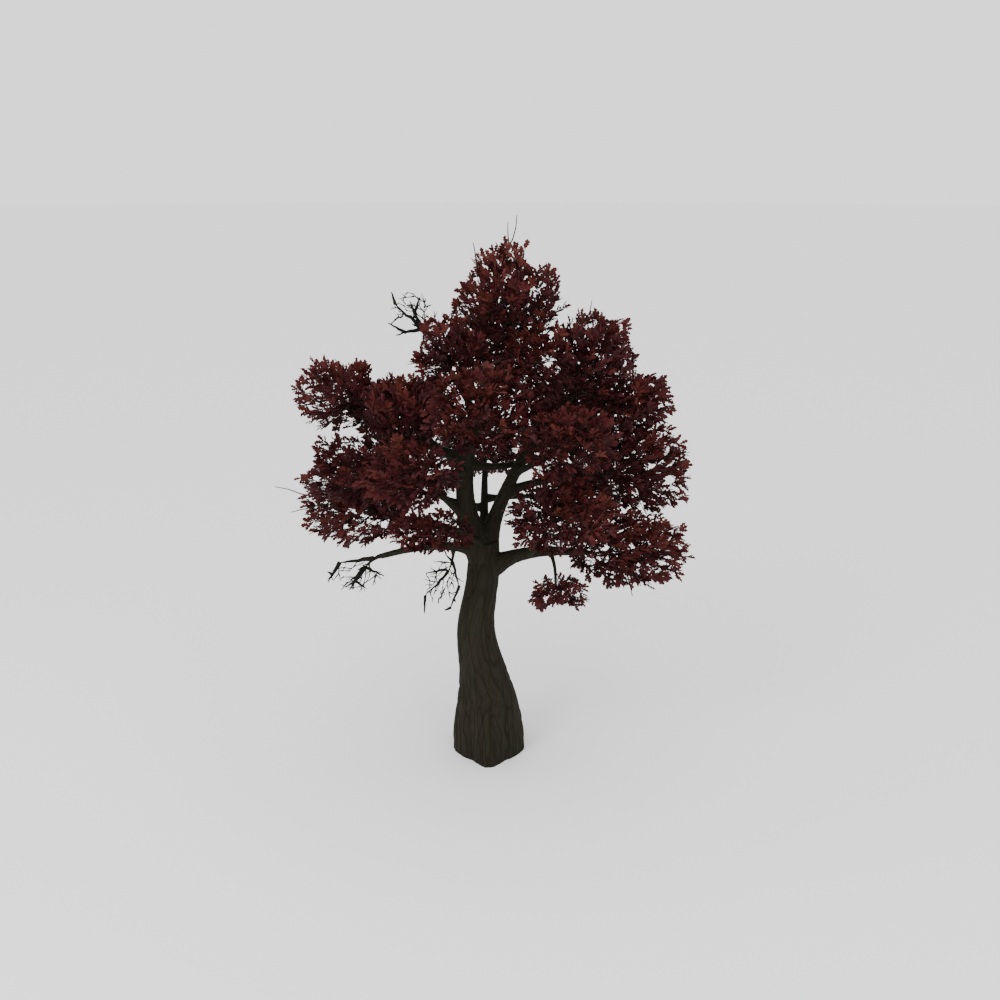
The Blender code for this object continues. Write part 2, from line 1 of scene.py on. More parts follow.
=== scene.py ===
# %% [markdown]
# A broad oak in dark red autumn leaf.
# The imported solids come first, because every piece below sits where they are. Each piece then
# takes the place of some of them: one mesh of bark for the trunk and boughs, joined meshes of
# twigs, and joined meshes of leaves, one for each autumn tint.

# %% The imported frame
import json
import math
import random
from collections import namedtuple

import bpy
import numpy as np
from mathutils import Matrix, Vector

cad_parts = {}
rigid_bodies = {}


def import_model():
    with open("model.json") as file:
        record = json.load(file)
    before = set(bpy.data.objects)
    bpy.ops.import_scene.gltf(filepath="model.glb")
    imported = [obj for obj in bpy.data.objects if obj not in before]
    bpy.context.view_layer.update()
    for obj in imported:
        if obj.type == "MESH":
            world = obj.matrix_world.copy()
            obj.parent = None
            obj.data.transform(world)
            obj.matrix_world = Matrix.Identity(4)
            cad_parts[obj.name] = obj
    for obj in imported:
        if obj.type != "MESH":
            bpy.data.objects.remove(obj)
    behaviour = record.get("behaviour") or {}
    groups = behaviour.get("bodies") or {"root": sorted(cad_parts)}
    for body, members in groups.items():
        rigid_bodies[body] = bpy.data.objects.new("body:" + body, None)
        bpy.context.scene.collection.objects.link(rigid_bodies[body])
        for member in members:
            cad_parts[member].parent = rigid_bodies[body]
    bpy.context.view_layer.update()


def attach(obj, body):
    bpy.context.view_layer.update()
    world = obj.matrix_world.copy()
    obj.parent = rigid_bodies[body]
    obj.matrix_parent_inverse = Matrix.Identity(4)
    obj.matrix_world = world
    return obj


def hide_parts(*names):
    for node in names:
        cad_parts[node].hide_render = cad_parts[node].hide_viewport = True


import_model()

bpy.ops.object.select_all(action="DESELECT")


def rounded(numbers):
    return [round(number, 2) for number in numbers]


# %% [markdown]
# The tree is seen from a little above, as from a low hill 24 m away, so the camera stands high
# and looks down by 17 degrees. It could be aimed with a Track To constraint, but a plain turn
# about X keeps upright things upright and is easy to read.

# %% Camera
LOOKING_DOWN = math.radians(17.0)
AIM = Vector((0.257, 0.0, 6.0))
DISTANCE = 23.8
LENS = 35
SENSOR = 32
backwards = Vector((0, -math.cos(LOOKING_DOWN), math.sin(LOOKING_DOWN)))
bpy.ops.object.camera_add(location=AIM + backwards * DISTANCE, rotation=(math.pi / 2 - LOOKING_DOWN, 0, 0))
camera = bpy.context.object
camera.data.lens = LENS
camera.data.sensor_width = SENSOR
bpy.context.scene.camera = camera
print("camera at", rounded(camera.location))

# %% [markdown]
# Overcast light from a pale sky is what shows dark red leaves best: sun would burn out the
# tips and blacken the rest. The sky is the world itself, and two large soft lamps, one high on
# the left and one in front, give the leaves a lit side.

# %% Floor and light
SKY_COLOUR = (1.0, 1.0, 1.0, 1.0)
SKY_STRENGTH = 1.6
FLOOR_SIDES = 96
FLOOR_RADIUS = 400
world = bpy.data.worlds.new("pale sky")
world.use_nodes = True
world.node_tree.nodes["Background"].inputs["Color"].default_value = SKY_COLOUR
world.node_tree.nodes["Background"].inputs["Strength"].default_value = SKY_STRENGTH
bpy.context.scene.world = world
bpy.ops.mesh.primitive_circle_add(vertices=FLOOR_SIDES, radius=FLOOR_RADIUS, fill_type="NGON")
floor = bpy.context.object
floor.name = "floor"


def softbox(name, location, size, power):
    """A square area lamp that faces the crown."""
    bpy.ops.object.light_add(type="AREA", location=location)
    lamp = bpy.context.object
    lamp.name = name
    lamp.data.size = size
    lamp.data.energy = power
    lamp.rotation_euler = (AIM - lamp.location).to_track_quat("-Z", "Y").to_euler()


softbox("key", location=(-14, -16, 22), size=10, power=3000)
softbox("front", location=(10, -22, 10), size=12, power=1200)
print("lamps:", [o.name for o in bpy.context.scene.objects if o.type == "LIGHT"])

# %% [markdown]
# A tree's limbs are curves that leave the trunk at some height and taper to their tips. The
# table repeats those of the solids: for each limb its parent, the share of the parent's length
# where it leaves, its tip, the two handles of its Bezier curve, and its radius at foot and tip.

# %% Trunk and limb table
TRUNK_HEIGHT = 5.1
FOOT_RADIUS = 0.82
NECK_RADIUS = 0.30
FLARE_HEIGHT = 1.89
FLARE_POWER = 2.6
SWAY = -0.225
SWAY_HEIGHT = 2.96
SWAY_SPREAD = 1.01
LEAN = -0.10
FLUTE_DEPTH = 0.085
FLUTE_FADE = 2.2
TAPER_POWER = 0.8
STATION_STEP = 0.5
FEWEST_STATIONS = 3
TRUNK_RINGS = 12

Limb = namedtuple("Limb", "name parent share tip leave arrive foot_radius tip_radius")
LIMBS = [
    Limb("leader", "trunk", 0.93,
         (0.42, 0.2, 9.2), (-0.83, 0.0, 1.45), (0.77, 0.0, 1.35), 0.27, 0.085),
    Limb("right_stem", "trunk", 0.93,
         (1.75, 0.15, 8.2), (0.3, 0.15, 1.2), (0.95, -0.1, 0.95), 0.20, 0.075),
    Limb("bough_right_low", "trunk", 0.84,
         (2.1, -0.45, 4.95), (0.75, -0.2, 0.75), (0.6, -0.1, 0.0), 0.20, 0.07),
    Limb("bough_left_low", "trunk", 0.96,
         (-2.1, 0.15, 5.55), (-0.7, 0.25, 0.45), (-0.6, 0.0, 0.05), 0.13, 0.06),
    Limb("dead_bough_low", "trunk", 0.92,
         (-2.3, -0.7, 4.95), (-0.6, -0.45, 0.6), (-0.6, -0.1, -0.15), 0.12, 0.06),
    Limb("bough_front_low", "trunk", 0.97,
         (-0.75, -0.95, 5.5), (-0.1, -0.4, 0.3), (-0.15, -0.25, 0.1), 0.075, 0.045),
    Limb("bough_back_low", "trunk", 0.96,
         (-0.1, 2.2, 6.2), (0.0, 0.7, 0.45), (0.0, 0.6, 0.2), 0.13, 0.06),
    Limb("bough_left_diagonal", "leader", 0.17,
         (-1.7, -0.3, 7.0), (-0.35, -0.2, 0.45), (-0.3, 0.0, 0.45), 0.10, 0.055),
    Limb("bough_left_beam", "leader", 0.37,
         (-2.0, -0.35, 6.5), (-0.5, -0.05, 0.02), (-0.5, -0.1, 0.08), 0.13, 0.065),
    Limb("bough_front_left", "leader", 0.42,
         (-1.15, -1.7, 7.0), (-0.2, -0.5, 0.1), (-0.25, -0.35, 0.1), 0.09, 0.05),
    Limb("bough_back_left", "leader", 0.40,
         (-1.3, 1.3, 7.0), (-0.2, 0.5, 0.1), (-0.3, 0.3, 0.15), 0.10, 0.055),
    Limb("bough_right_beam", "leader", 0.45,
         (1.05, 0.55, 6.8), (0.5, 0.1, -0.12), (0.4, 0.15, 0.15), 0.10, 0.055),
    Limb("bough_wing", "leader", 0.48,
         (-2.6, 0.1, 7.8), (-0.7, 0.35, 0.1), (-0.6, -0.1, 0.35), 0.11, 0.055),
    Limb("bough_centre_front", "leader", 0.52,
         (-0.15, -1.1, 7.8), (0.05, -0.5, 0.15), (0.0, -0.35, 0.25), 0.09, 0.05),
    Limb("bough_back_top", "leader", 0.72,
         (0.15, 1.0, 8.6), (0.05, 0.35, 0.1), (0.0, 0.25, 0.2), 0.075, 0.05),
    Limb("dead_bough_upper", "leader", 0.68,
         (-1.15, 0.5, 9.35), (-0.3, 0.2, 0.4), (-0.3, 0.05, 0.5), 0.08, 0.05),
    Limb("bough_shoulder", "leader", 0.78,
         (-0.5, -0.15, 8.65), (-0.15, -0.15, 0.1), (-0.15, -0.05, 0.15), 0.06, 0.045),
    Limb("bough_upper_front", "leader", 0.84,
         (0.85, -0.35, 9.0), (0.15, -0.2, 0.12), (0.2, -0.1, 0.25), 0.06, 0.045),
    Limb("bough_right_mid", "right_stem", 0.36,
         (2.3, 0.3, 6.5), (0.5, 0.1, 0.35), (0.6, 0.0, 0.1), 0.11, 0.06),
    Limb("bough_front_right", "right_stem", 0.50,
         (1.25, -1.3, 7.3), (0.1, -0.5, 0.15), (0.15, -0.4, 0.15), 0.085, 0.05),
    Limb("bough_back_right", "right_stem", 0.56,
         (1.6, 1.65, 7.15), (0.1, 0.5, 0.1), (0.2, 0.4, 0.1), 0.09, 0.055),
    Limb("bough_right_upper", "right_stem", 0.68,
         (2.6, 0.3, 7.85), (0.45, 0.1, 0.1), (0.4, 0.05, 0.15), 0.09, 0.055),
    Limb("bough_right_front", "bough_right_low", 0.42,
         (1.2, -1.15, 5.65), (0.1, -0.35, 0.15), (0.05, -0.2, 0.3), 0.08, 0.045),
    Limb("bough_drop", "bough_right_low", 0.62,
         (1.45, -0.8, 4.45), (0.1, -0.2, -0.05), (0.0, -0.05, -0.2), 0.05, 0.035),
    Limb("dead_spur", "dead_bough_low", 0.30,
         (-0.76, -0.42, 4.88), (-0.02, -0.05, -0.04), (0.0, 0.0, -0.08), 0.045, 0.035),
    Limb("bough_back_left_low", "bough_back_low", 0.42,
         (-1.7, 1.85, 5.65), (-0.5, 0.2, 0.0), (-0.5, 0.1, 0.05), 0.08, 0.05),
    Limb("bough_back_right_low", "bough_back_low", 0.52,
         (1.4, 2.0, 5.5), (0.5, 0.2, 0.0), (0.5, 0.1, 0.0), 0.08, 0.05),
]
BY_NAME = {limb.name: limb for limb in LIMBS}
print(len(LIMBS), "limbs on one trunk")

# %% [markdown]
# The trunk's middle line and radius are written as formulas of the height, because its sway and
# flare are smooth. A limb's middle line is a cubic Bezier curve, the same kind as the curve tool
# draws, so the curves, the bark and the twigs can all ask one function where the wood is.

# %% Centrelines and radii


def trunk_centre(height):
    """The trunk leans a little and sways to the left above its flare."""
    sway = SWAY * math.exp(-(((height - SWAY_HEIGHT) / SWAY_SPREAD) ** 2))
    foot = SWAY * math.exp(-((SWAY_HEIGHT / SWAY_SPREAD) ** 2))
    return Vector((LEAN * height / TRUNK_HEIGHT + sway - foot, 0.0, height))


def trunk_radius(height):
    flare = 1.0 / (1.0 + (max(height, 0.0) / FLARE_HEIGHT) ** FLARE_POWER)
    return NECK_RADIUS + (FOOT_RADIUS - NECK_RADIUS) * flare


def flute(angle, height):
    """Root buttresses: the share by which the round trunk swells or hollows at this angle."""
    waves = 0.6 * math.sin(3 * angle) - math.sin(5 * angle) + 0.4 * math.cos(8 * angle)
    waves -= 0.5 * math.cos(2 * angle)
    return FLUTE_DEPTH * math.exp(-height / FLUTE_FADE) * waves


def limb_start(limb):
    if limb.parent == "trunk":
        return trunk_centre(limb.share * TRUNK_HEIGHT)
    return curve_point(BY_NAME[limb.parent], limb.share)


def curve_point(limb, share):
    """A point of the limb's cubic curve."""
    start = limb_start(limb)
    end = Vector(limb.tip)
    first, second = start + Vector(limb.leave), end - Vector(limb.arrive)
    rest = 1.0 - share
    return (
        rest**3 * start
        + 3 * rest * rest * share * first
        + 3 * rest * share * share * second
        + share**3 * end
    )


def limb_radius(limb, share):
    return limb.foot_radius + (limb.tip_radius - limb.foot_radius) * share**TAPER_POWER


def limb_shares(limb):
    """Where along the limb the solid's rings stand."""
    length = (Vector(limb.tip) - limb_start(limb)).length
    stations = max(FEWEST_STATIONS, round(length / STATION_STEP))
    return [i / stations for i in range(stations + 1)]


def limb_heading(limb):
    return (Vector(limb.tip) - curve_point(limb, limb_shares(limb)[-2])).normalized()


print("the leader ends at", rounded(curve_point(BY_NAME["leader"], 1.0)))

# %% [markdown]
# The trunk starts as a flat circle that is extruded ring by ring to its top. Each ring is then
# given its own radius, sway and root flutes. It starts a little below the ground, so that the
# flat cut at ground level can be made later, through finished bark.

# %% Trunk blank
TRUNK_SIDES = 96
RING_STEP = 0.1
BELOW_GROUND = 0.12
bpy.ops.mesh.primitive_circle_add(
    vertices=TRUNK_SIDES, radius=1.0, fill_type="NGON", location=(0, 0, -BELOW_GROUND)
)
bark = bpy.context.object
bark.name = "bark"
bpy.ops.object.transform_apply(location=True)
bpy.ops.object.mode_set(mode="EDIT")
bpy.ops.mesh.select_all(action="SELECT")
for _ in range(round((TRUNK_HEIGHT + BELOW_GROUND) / RING_STEP)):
    bpy.ops.mesh.extrude_region_move(TRANSFORM_OT_translate={"value": (0, 0, RING_STEP)})
bpy.ops.object.mode_set(mode="OBJECT")
for corner in bark.data.vertices:
    angle = math.atan2(corner.co.y, corner.co.x)
    height = corner.co.z
    reach = trunk_radius(height) * (1.0 + flute(angle, height))
    corner.co = trunk_centre(height) + Vector((math.cos(angle) * reach, math.sin(angle) * reach, 0))
print("trunk blank:", len(bark.data.vertices), "corners")

# %% [markdown]
# Each limb is a Bezier curve, which is what Blender's curve tool draws. The curve is subdivided
# so that its radius can follow the taper, given a round bevel and turned into a mesh. Where a
# limb leaves its parent it swells into a collar, as grown wood does.

# %% Limb blanks
LIMB_CUTS = 14
COLLAR_SWELL = 0.4
COLLAR_LENGTH = 1.6
CURVE_STEPS = 3
CURVE_ROUNDNESS = 6


def parent_radius(limb):
    if limb.parent == "trunk":
        return trunk_radius(limb.share * TRUNK_HEIGHT)
    return limb_radius(BY_NAME[limb.parent], limb.share)


def with_collar(limb, share):
    """The limb's radius, swollen near the surface of its parent."""
    beyond = (curve_point(limb, share) - limb_start(limb)).length - parent_radius(limb)
    fade = max(beyond, 0.0) / (limb.foot_radius * COLLAR_LENGTH)
    return limb_radius(limb, share) * (1.0 + COLLAR_SWELL * math.exp(-fade * fade))


def limb_blank(limb):
    """The limb's curve, subdivided, given its radii and turned into a closed tube."""
    bpy.ops.curve.primitive_bezier_curve_add(location=(0, 0, 0))
    curve = bpy.context.object
    start, end = limb_start(limb), Vector(limb.tip)
    first, last = curve.data.splines[0].bezier_points
    for point, place, handle in ((first, start, limb.leave), (last, end, limb.arrive)):
        point.handle_left_type = "FREE"
        point.handle_right_type = "FREE"
        point.co = place
        point.handle_left = place - Vector(handle)
        point.handle_right = place + Vector(handle)
    bpy.ops.object.mode_set(mode="EDIT")
    bpy.ops.curve.select_all(action="SELECT")
    bpy.ops.curve.subdivide(number_cuts=LIMB_CUTS)
    bpy.ops.object.mode_set(mode="OBJECT")
    points = curve.data.splines[0].bezier_points
    for i, point in enumerate(points):
        point.radius = with_collar(limb, i / (len(points) - 1))
    curve.data.resolution_u = CURVE_STEPS
    curve.data.bevel_depth = 1.0
    curve.data.bevel_resolution = CURVE_ROUNDNESS
    curve.data.use_fill_caps = True
    bpy.ops.object.convert(target="MESH")
    return bpy.context.object


blanks = [limb_blank(limb) for limb in LIMBS]
for blank in blanks:
    blank.select_set(True)
bark.select_set(True)
bpy.context.view_layer.objects.active = bark
bpy.ops.object.join()
print("trunk and limbs joined:", len(bark.data.vertices), "corners")

# %% [markdown]
# A voxel remesh turns the crossing tubes into one skin, and a little smoothing rounds the
# forks. The voxels are finer than the bark's ridges, so the skin can carry real relief.

# %% One skin
VOXEL = 0.016
SMOOTHING = 0.5
SMOOTH_ROUNDS = 8


def apply_modifier(obj, kind, **settings):
    """Adds one modifier and applies it."""
    bpy.ops.object.select_all(action="DESELECT")
    obj.select_set(True)
    bpy.context.view_layer.objects.active = obj
    modifier = obj.modifiers.new(kind.lower(), kind)
    for name, value in settings.items():
        setattr(modifier, name, value)
    bpy.ops.object.modifier_apply(modifier=modifier.name)


apply_modifier(bark, "REMESH", mode="VOXEL", voxel_size=VOXEL)
apply_modifier(bark, "SMOOTH", factor=SMOOTHING, iterations=SMOOTH_ROUNDS)
print("one skin:", len(bark.data.vertices), "corners")

# %% [markdown]
# Oak bark breaks into long ridges that run with the wood, with furrows between them. Paint
# could fake that, but real relief catches the light. So each corner of the skin finds the
# limbs that it belongs to and its place on them, and noise that is drawn out along the limb
# moves it in or out.

# %% Noise on arrays


def lattice(cells):
    """A repeatable chance number from 0 to 1 for each whole-numbered cell."""
    mixed = (cells[..., 0] * 73856093) ^ (cells[..., 1] * 19349663) ^ (cells[..., 2] * 83492791)
    mixed = (mixed ^ (mixed >> 13)) * 1274126177
    return ((mixed ^ (mixed >> 16)) & 65535) / 65535.0


def noise(points):
    """Soft three-dimensional noise from -1 to 1, with features about one unit wide."""
    cells = np.floor(points).astype(np.int64)
    part = points - cells
    part = part * part * (3 - 2 * part)
    total = np.zeros(len(points))
    for corner in np.ndindex(2, 2, 2):
        weight = np.prod(np.where(corner, part, 1 - part), axis=1)
        total += weight * lattice(cells + np.array(corner))
    return total * 2 - 1


print("noise at the middle:", noise(np.array([[0.5, 0.5, 0.5]])).round(2))

# %% [markdown]
# A pattern that follows the wood needs two directions across each limb and one along it. They
# are carried from point to point without twist. Where two limbs meet, the ridges of both are
# mixed by how near each surface is, so that no seam runs round the fork.

# %% Places on the limbs
AXIS_STEPS = 40
BLEND_WIDTH = 0.04
NEARBY = 1.6
FAR = 1e9
TINY = 1e-9
UPRIGHT = 0.8


def axis_of(limb):
    """Points, radii and lengths along the middle of a limb, or of the trunk when it is None."""
    shares = np.linspace(0, 1, AXIS_STEPS + 1)
    if limb is None:
        points = np.array([trunk_centre(-BELOW_GROUND + s * (TRUNK_HEIGHT + BELOW_GROUND)) for s in shares])
        radii = np.array([trunk_radius(point[2]) for point in points])
    else:
        points = np.array([curve_point(limb, s) for s in shares])
        radii = np.array([limb_radius(limb, s) for s in shares])
    steps = np.linalg.norm(np.diff(points, axis=0), axis=1)
    return points, radii, np.concatenate([[0.0], np.cumsum(steps)])


def turning_frames(points):
    """Two directions across the path at each of its points, carried along without twist."""
    along = np.gradient(points, axis=0)
    along /= np.linalg.norm(along, axis=1, keepdims=True)
    across = np.zeros_like(points)
    spare = np.array([0.0, 1.0, 0.0]) if abs(along[0, 1]) < UPRIGHT else np.array([1.0, 0.0, 0.0])
    for i, direction in enumerate(along):
        spare = spare - direction * (spare @ direction)
        spare /= np.linalg.norm(spare)
        across[i] = spare
    return across, np.cross(along, across)


def place_on(points, limb):
    """For each point its offset across the limb, its length along it, and how far out it is."""
    axis, radii, lengths = axis_of(limb)
    across, side = turning_frames(axis)
    starts, steps = axis[:-1], np.diff(axis, axis=0)
    offset = points[:, None, :] - starts
    share = np.clip((offset * steps).sum(axis=2) / (steps * steps).sum(axis=1), 0, 1)
    away = offset - share[..., None] * steps
    near = np.argmin((away * away).sum(axis=2), axis=1)
    rows = np.arange(len(points))
    away, share = away[rows, near], share[rows, near]
    mix = share[:, None]
    cross_a = across[near] * (1 - mix) + across[near + 1] * mix
    cross_b = side[near] * (1 - mix) + side[near + 1] * mix
    radius = radii[near] * (1 - share) + radii[near + 1] * share
    length = lengths[near] * (1 - share) + lengths[near + 1] * share
    grain = np.stack([(away * cross_a).sum(axis=1), (away * cross_b).sum(axis=1), length], axis=1)
    return grain, np.linalg.norm(away, axis=1) - radius, radius


def bark_places(points):
    """The grain coordinates and limb radius of each point of the skin, and its relief from 0 to 1."""
    grain = np.zeros_like(points)
    girth = np.zeros(len(points))
    relief = np.zeros(len(points))
    weights = np.zeros(len(points))
    closest = np.full(len(points), FAR)
    for index, limb in enumerate([None] + LIMBS):
        axis, radii, _ = axis_of(limb)
        room = radii.max() * NEARBY
        low, high = axis.min(axis=0) - room, axis.max(axis=0) + room
        near = np.flatnonzero(((points > low) & (points < high)).all(axis=1))
        if not len(near):
            continue
        own_grain, out, radius = place_on(points[near], limb)
        weight = np.exp(-np.clip(out, 0, None) / BLEND_WIDTH) + TINY
        relief[near] += weight * ridges(own_grain, radius, index)
        weights[near] += weight
        better = out < closest[near]
        grain[near[better]] = own_grain[better]
        girth[near[better]] = radius[better]
        closest[near] = np.minimum(out, closest[near])
    return grain, girth, relief / np.maximum(weights, TINY)


print("places along each limb:", len(axis_of(BY_NAME["leader"])[0]))

# %% [markdown]
# A ridge lies between two furrows, and a furrow is where soft noise crosses zero. The noise is
# stretched along the wood, bent a little by a coarser noise so that ridges meet and part, and
# crossed by fine cracks.

# %% Ridges and furrows
RIDGE_WIDTH = 0.085
RIDGE_LENGTH = 0.55
RIDGE_SHARPNESS = 3.2
COARSE_RADIUS = 0.35
FINEST = 0.35
RIDGE_BEND = 0.35
CRACK_SCALE = np.array([2.1, 2.1, 1.3])
CRACK_LEVEL = 0.55
CRACK_SHARPNESS = 1.5


def ridges(grain, radius, index):
    """Long interlaced ridges, from 0 in the furrows to 1 on top. Thin limbs have finer ones."""
    fine = np.clip(radius / COARSE_RADIUS, FINEST, 1.0)[:, None]
    scale = np.array([RIDGE_WIDTH, RIDGE_WIDTH, RIDGE_LENGTH]) * fine
    spot = grain / scale + index * 17.3
    bent = spot + RIDGE_BEND * noise(spot * 0.5 + 5.1)[:, None]
    furrow = np.abs(noise(bent))
    crack = np.abs(noise(bent * CRACK_SCALE + 9.7))
    return np.clip(np.minimum(furrow * RIDGE_SHARPNESS, CRACK_LEVEL + crack * CRACK_SHARPNESS), 0, 1)


def numbers_of(layer, name):
    """The three numbers that a mesh keeps for each of its corners, as an array."""
    found = np.zeros(len(layer) * 3)
    layer.foreach_get(name, found)
    return found.reshape(-1, 3)


skin = numbers_of(bark.data.vertices, "co")
normals = numbers_of(bark.data.vertex_normals, "vector")
grain, girth, relief = bark_places(skin)
print("relief from", relief.min().round(2), "to", relief.max().round(2), "mean", relief.mean().round(2))

# %% [markdown]
# The ridges are raised and the furrows sunk along the surface's normals, deep on the trunk and
# shallow on thin limbs. A Displace modifier would need a texture, and this noise is an array
# already. The bisect tool then cuts the foot flat at the ground, and Decimate thins the skin
# where it is even.

# %% Relief and the flat cut
RELIEF_DEPTH = 0.020
RELIEF_LEVEL = 0.6
LEAST_RELIEF = 0.10
BARK_TRIANGLES = 186000

depth = RELIEF_DEPTH * np.clip(girth / COARSE_RADIUS, LEAST_RELIEF, 1.0)
skin += normals * ((relief - RELIEF_LEVEL) * depth)[:, None]
bark.data.vertices.foreach_set("co", skin.ravel())
bark.data.update()
bpy.ops.object.mode_set(mode="EDIT")
bpy.ops.mesh.select_all(action="SELECT")
bpy.ops.mesh.bisect(plane_co=(0, 0, 0), plane_no=(0, 0, 1), use_fill=True, clear_inner=True)
bpy.ops.object.mode_set(mode="OBJECT")
bark.data.calc_loop_triangles()
apply_modifier(bark, "DECIMATE", ratio=min(1.0, BARK_TRIANGLES / len(bark.data.loop_triangles)))
bpy.ops.object.shade_smooth()
bark.data.calc_loop_triangles()
print("bark:", len(bark.data.loop_triangles), "triangles")

# %% [markdown]
# The bark's colour has to follow its ridges, on the trunk and out along every bough. So each
# corner of the finished skin keeps its grain coordinates and its relief as attributes, which the
# material reads by name.

# %% Grain stored on the skin


def stored(obj, name, kind, values):
    """Keeps numbers for each corner of a mesh, which its material can read by name."""
    layer = obj.data.attributes.new(name, kind, "POINT")
    field = "vector" if kind == "FLOAT_VECTOR" else "value"
    layer.data.foreach_set(field, np.ravel(values).astype(np.float32))


grain, girth, relief = bark_places(numbers_of(bark.data.vertices, "co"))
stored(bark, "grain", "FLOAT_VECTOR", grain)
stored(bark, "relief", "FLOAT", relief)
print("grain stored on", len(grain), "corners")

# %% [markdown]
# The crown is not one ball of leaves. Each bough carries a mass of foliage that keeps to its
# own cell of space, as real boughs do when they compete for light, and sky shows between them.
# The table repeats the masses of the solids: the bough, the centre and half sizes of the space,
# the number of main twigs, and the ends of bare twigs that stand out.

# %% Mass table
Mass = namedtuple("Mass", "name bough centre reach twigs spires")
MASSES = [
    Mass("foliage_top", "leader", (0.45, 0.2, 10.3), (1.35, 1.25, 1.4), 9,
         [(0.6, 0.2, 12.0), (0.42, 0.25, 11.85), (-0.3, 0.3, 11.45)]),
    Mass("foliage_upper_front", "bough_upper_front", (1.0, -0.7, 9.1), (1.0, 1.0, 1.1), 4, []),
    Mass("foliage_upper_right", "right_stem", (2.3, 0.1, 9.05), (1.25, 1.2, 1.3), 6, [(2.15, 0.0, 10.3)]),
    Mass("foliage_right_upper", "bough_right_upper", (3.0, 0.2, 8.15), (1.15, 1.2, 1.05), 5, []),
    Mass("foliage_right_mid", "bough_right_mid", (3.35, 0.3, 6.65), (1.35, 1.3, 1.25), 7, []),
    Mass("foliage_right_low", "bough_right_low", (3.05, -0.5, 5.05), (1.6, 1.2, 1.05), 7,
         [(3.15, -0.5, 3.95)]),
    Mass("foliage_right_front", "bough_right_front", (1.5, -1.6, 6.1), (1.4, 1.15, 0.95), 6, []),
    Mass("foliage_drop", "bough_drop", (1.5, -0.9, 4.2), (0.85, 0.75, 0.6), 3, [(1.15, -0.95, 3.75)]),
    Mass("foliage_centre_right", "bough_right_beam", (1.5, 0.85, 7.4), (1.0, 0.9, 0.95), 4, []),
    Mass("foliage_centre_front", "bough_centre_front", (-0.1, -1.6, 8.35), (1.4, 1.2, 1.15), 7, []),
    Mass("foliage_shoulder", "bough_shoulder", (-0.75, -0.3, 9.25), (1.05, 1.0, 1.0), 4, []),
    Mass("foliage_left_upper", "bough_left_diagonal", (-1.8, -0.35, 8.0), (1.15, 1.1, 1.0), 5, []),
    Mass("foliage_wing", "bough_wing", (-3.15, 0.1, 8.3), (1.15, 1.1, 1.05), 5, []),
    Mass("foliage_left_mid", "bough_left_beam", (-2.7, -0.75, 6.85), (1.6, 1.2, 0.95), 6,
         [(-4.1, -0.4, 7.4)]),
    Mass("foliage_left_low", "bough_left_low", (-2.9, 0.3, 5.65), (1.45, 1.15, 0.95), 6,
         [(-4.62, 0.0, 6.3), (-4.3, -0.1, 5.75)]),
    Mass("foliage_front_low", "bough_front_low", (-1.1, -1.45, 5.75), (1.15, 0.9, 0.6), 4, []),
    Mass("foliage_front_right", "bough_front_right", (1.6, -1.95, 7.75), (1.2, 1.15, 1.0), 5, []),
    Mass("foliage_front_left", "bough_front_left", (-1.5, -2.4, 7.25), (1.2, 1.1, 0.9), 5, []),
    Mass("foliage_back_left", "bough_back_left", (-1.9, 1.9, 7.4), (1.4, 1.3, 1.2), 6, []),
    Mass("foliage_back_right", "bough_back_right", (2.1, 2.3, 7.4), (1.4, 1.35, 1.3), 6, []),
    Mass("foliage_back_top", "bough_back_top", (0.2, 1.65, 9.0), (1.3, 1.2, 1.2), 6, []),
    Mass("foliage_back_low", "bough_back_low", (-0.1, 3.05, 6.5), (1.5, 1.25, 1.0), 6, []),
    Mass("foliage_back_left_low", "bough_back_left_low", (-2.5, 2.1, 5.7), (1.25, 1.2, 0.95), 5, []),
    Mass("foliage_back_right_low", "bough_back_right_low", (2.2, 2.35, 5.5), (1.35, 1.25, 0.95), 5, []),
    Mass("bare_upper_left", "dead_bough_upper", (-1.6, 0.55, 9.85), (0.6, 0.45, 0.65), 7,
         [(-2.03, 0.55, 10.42), (-2.12, 0.5, 9.77), (-1.43, 0.6, 10.31), (-1.01, 0.5, 10.29)]),
    Mass("bare_low_left", "dead_bough_low", (-2.85, -0.8, 4.5), (0.7, 0.4, 0.4), 6,
         [(-3.45, -0.75, 4.62), (-3.05, -0.8, 4.3), (-2.62, -0.8, 4.25)]),
    Mass("bare_hanging", "dead_spur", (-1.0, -0.45, 4.25), (0.5, 0.35, 0.7), 7,
         [(-1.41, -0.4, 3.5), (-0.96, -0.5, 3.62), (-0.72, -0.45, 3.8)]),
]


def is_bare(mass):
    return mass.name.startswith("bare")


print(len(MASSES), "masses, of which", sum(is_bare(mass) for mass in MASSES), "are bare")

# %% [markdown]
# In a real crown twigs don't run through boughs, and the twigs of two boughs hardly mix. Two
# tests stand for that: the distance to the nearest limb, with the limbs taken as short round
# rods, and a flat border between each two masses, nearer to the smaller one.

# %% Room round the limbs and between the masses
LIMB_ROOM = 0.03
CELL_ROOM = 0.012
LEAF_SWELL = 1.04


def limb_segments():
    """The limbs and the trunk as short capsules: ends and radii, in arrays."""
    starts, ends, radii = [], [], []
    for i in range(TRUNK_RINGS):
        low, high = (TRUNK_HEIGHT * n / TRUNK_RINGS for n in (i, i + 1))
        starts.append(trunk_centre(low))
        ends.append(trunk_centre(high))
        radii.append(trunk_radius(low) * (1.0 + FLUTE_DEPTH * math.exp(-low / FLUTE_FADE)))
    for limb in LIMBS:
        shares = limb_shares(limb)
        for low, high in zip(shares, shares[1:]):
            starts.append(curve_point(limb, low))
            ends.append(curve_point(limb, high))
            radii.append(limb_radius(limb, low))
    return np.array(starts), np.array(ends), np.array(radii)


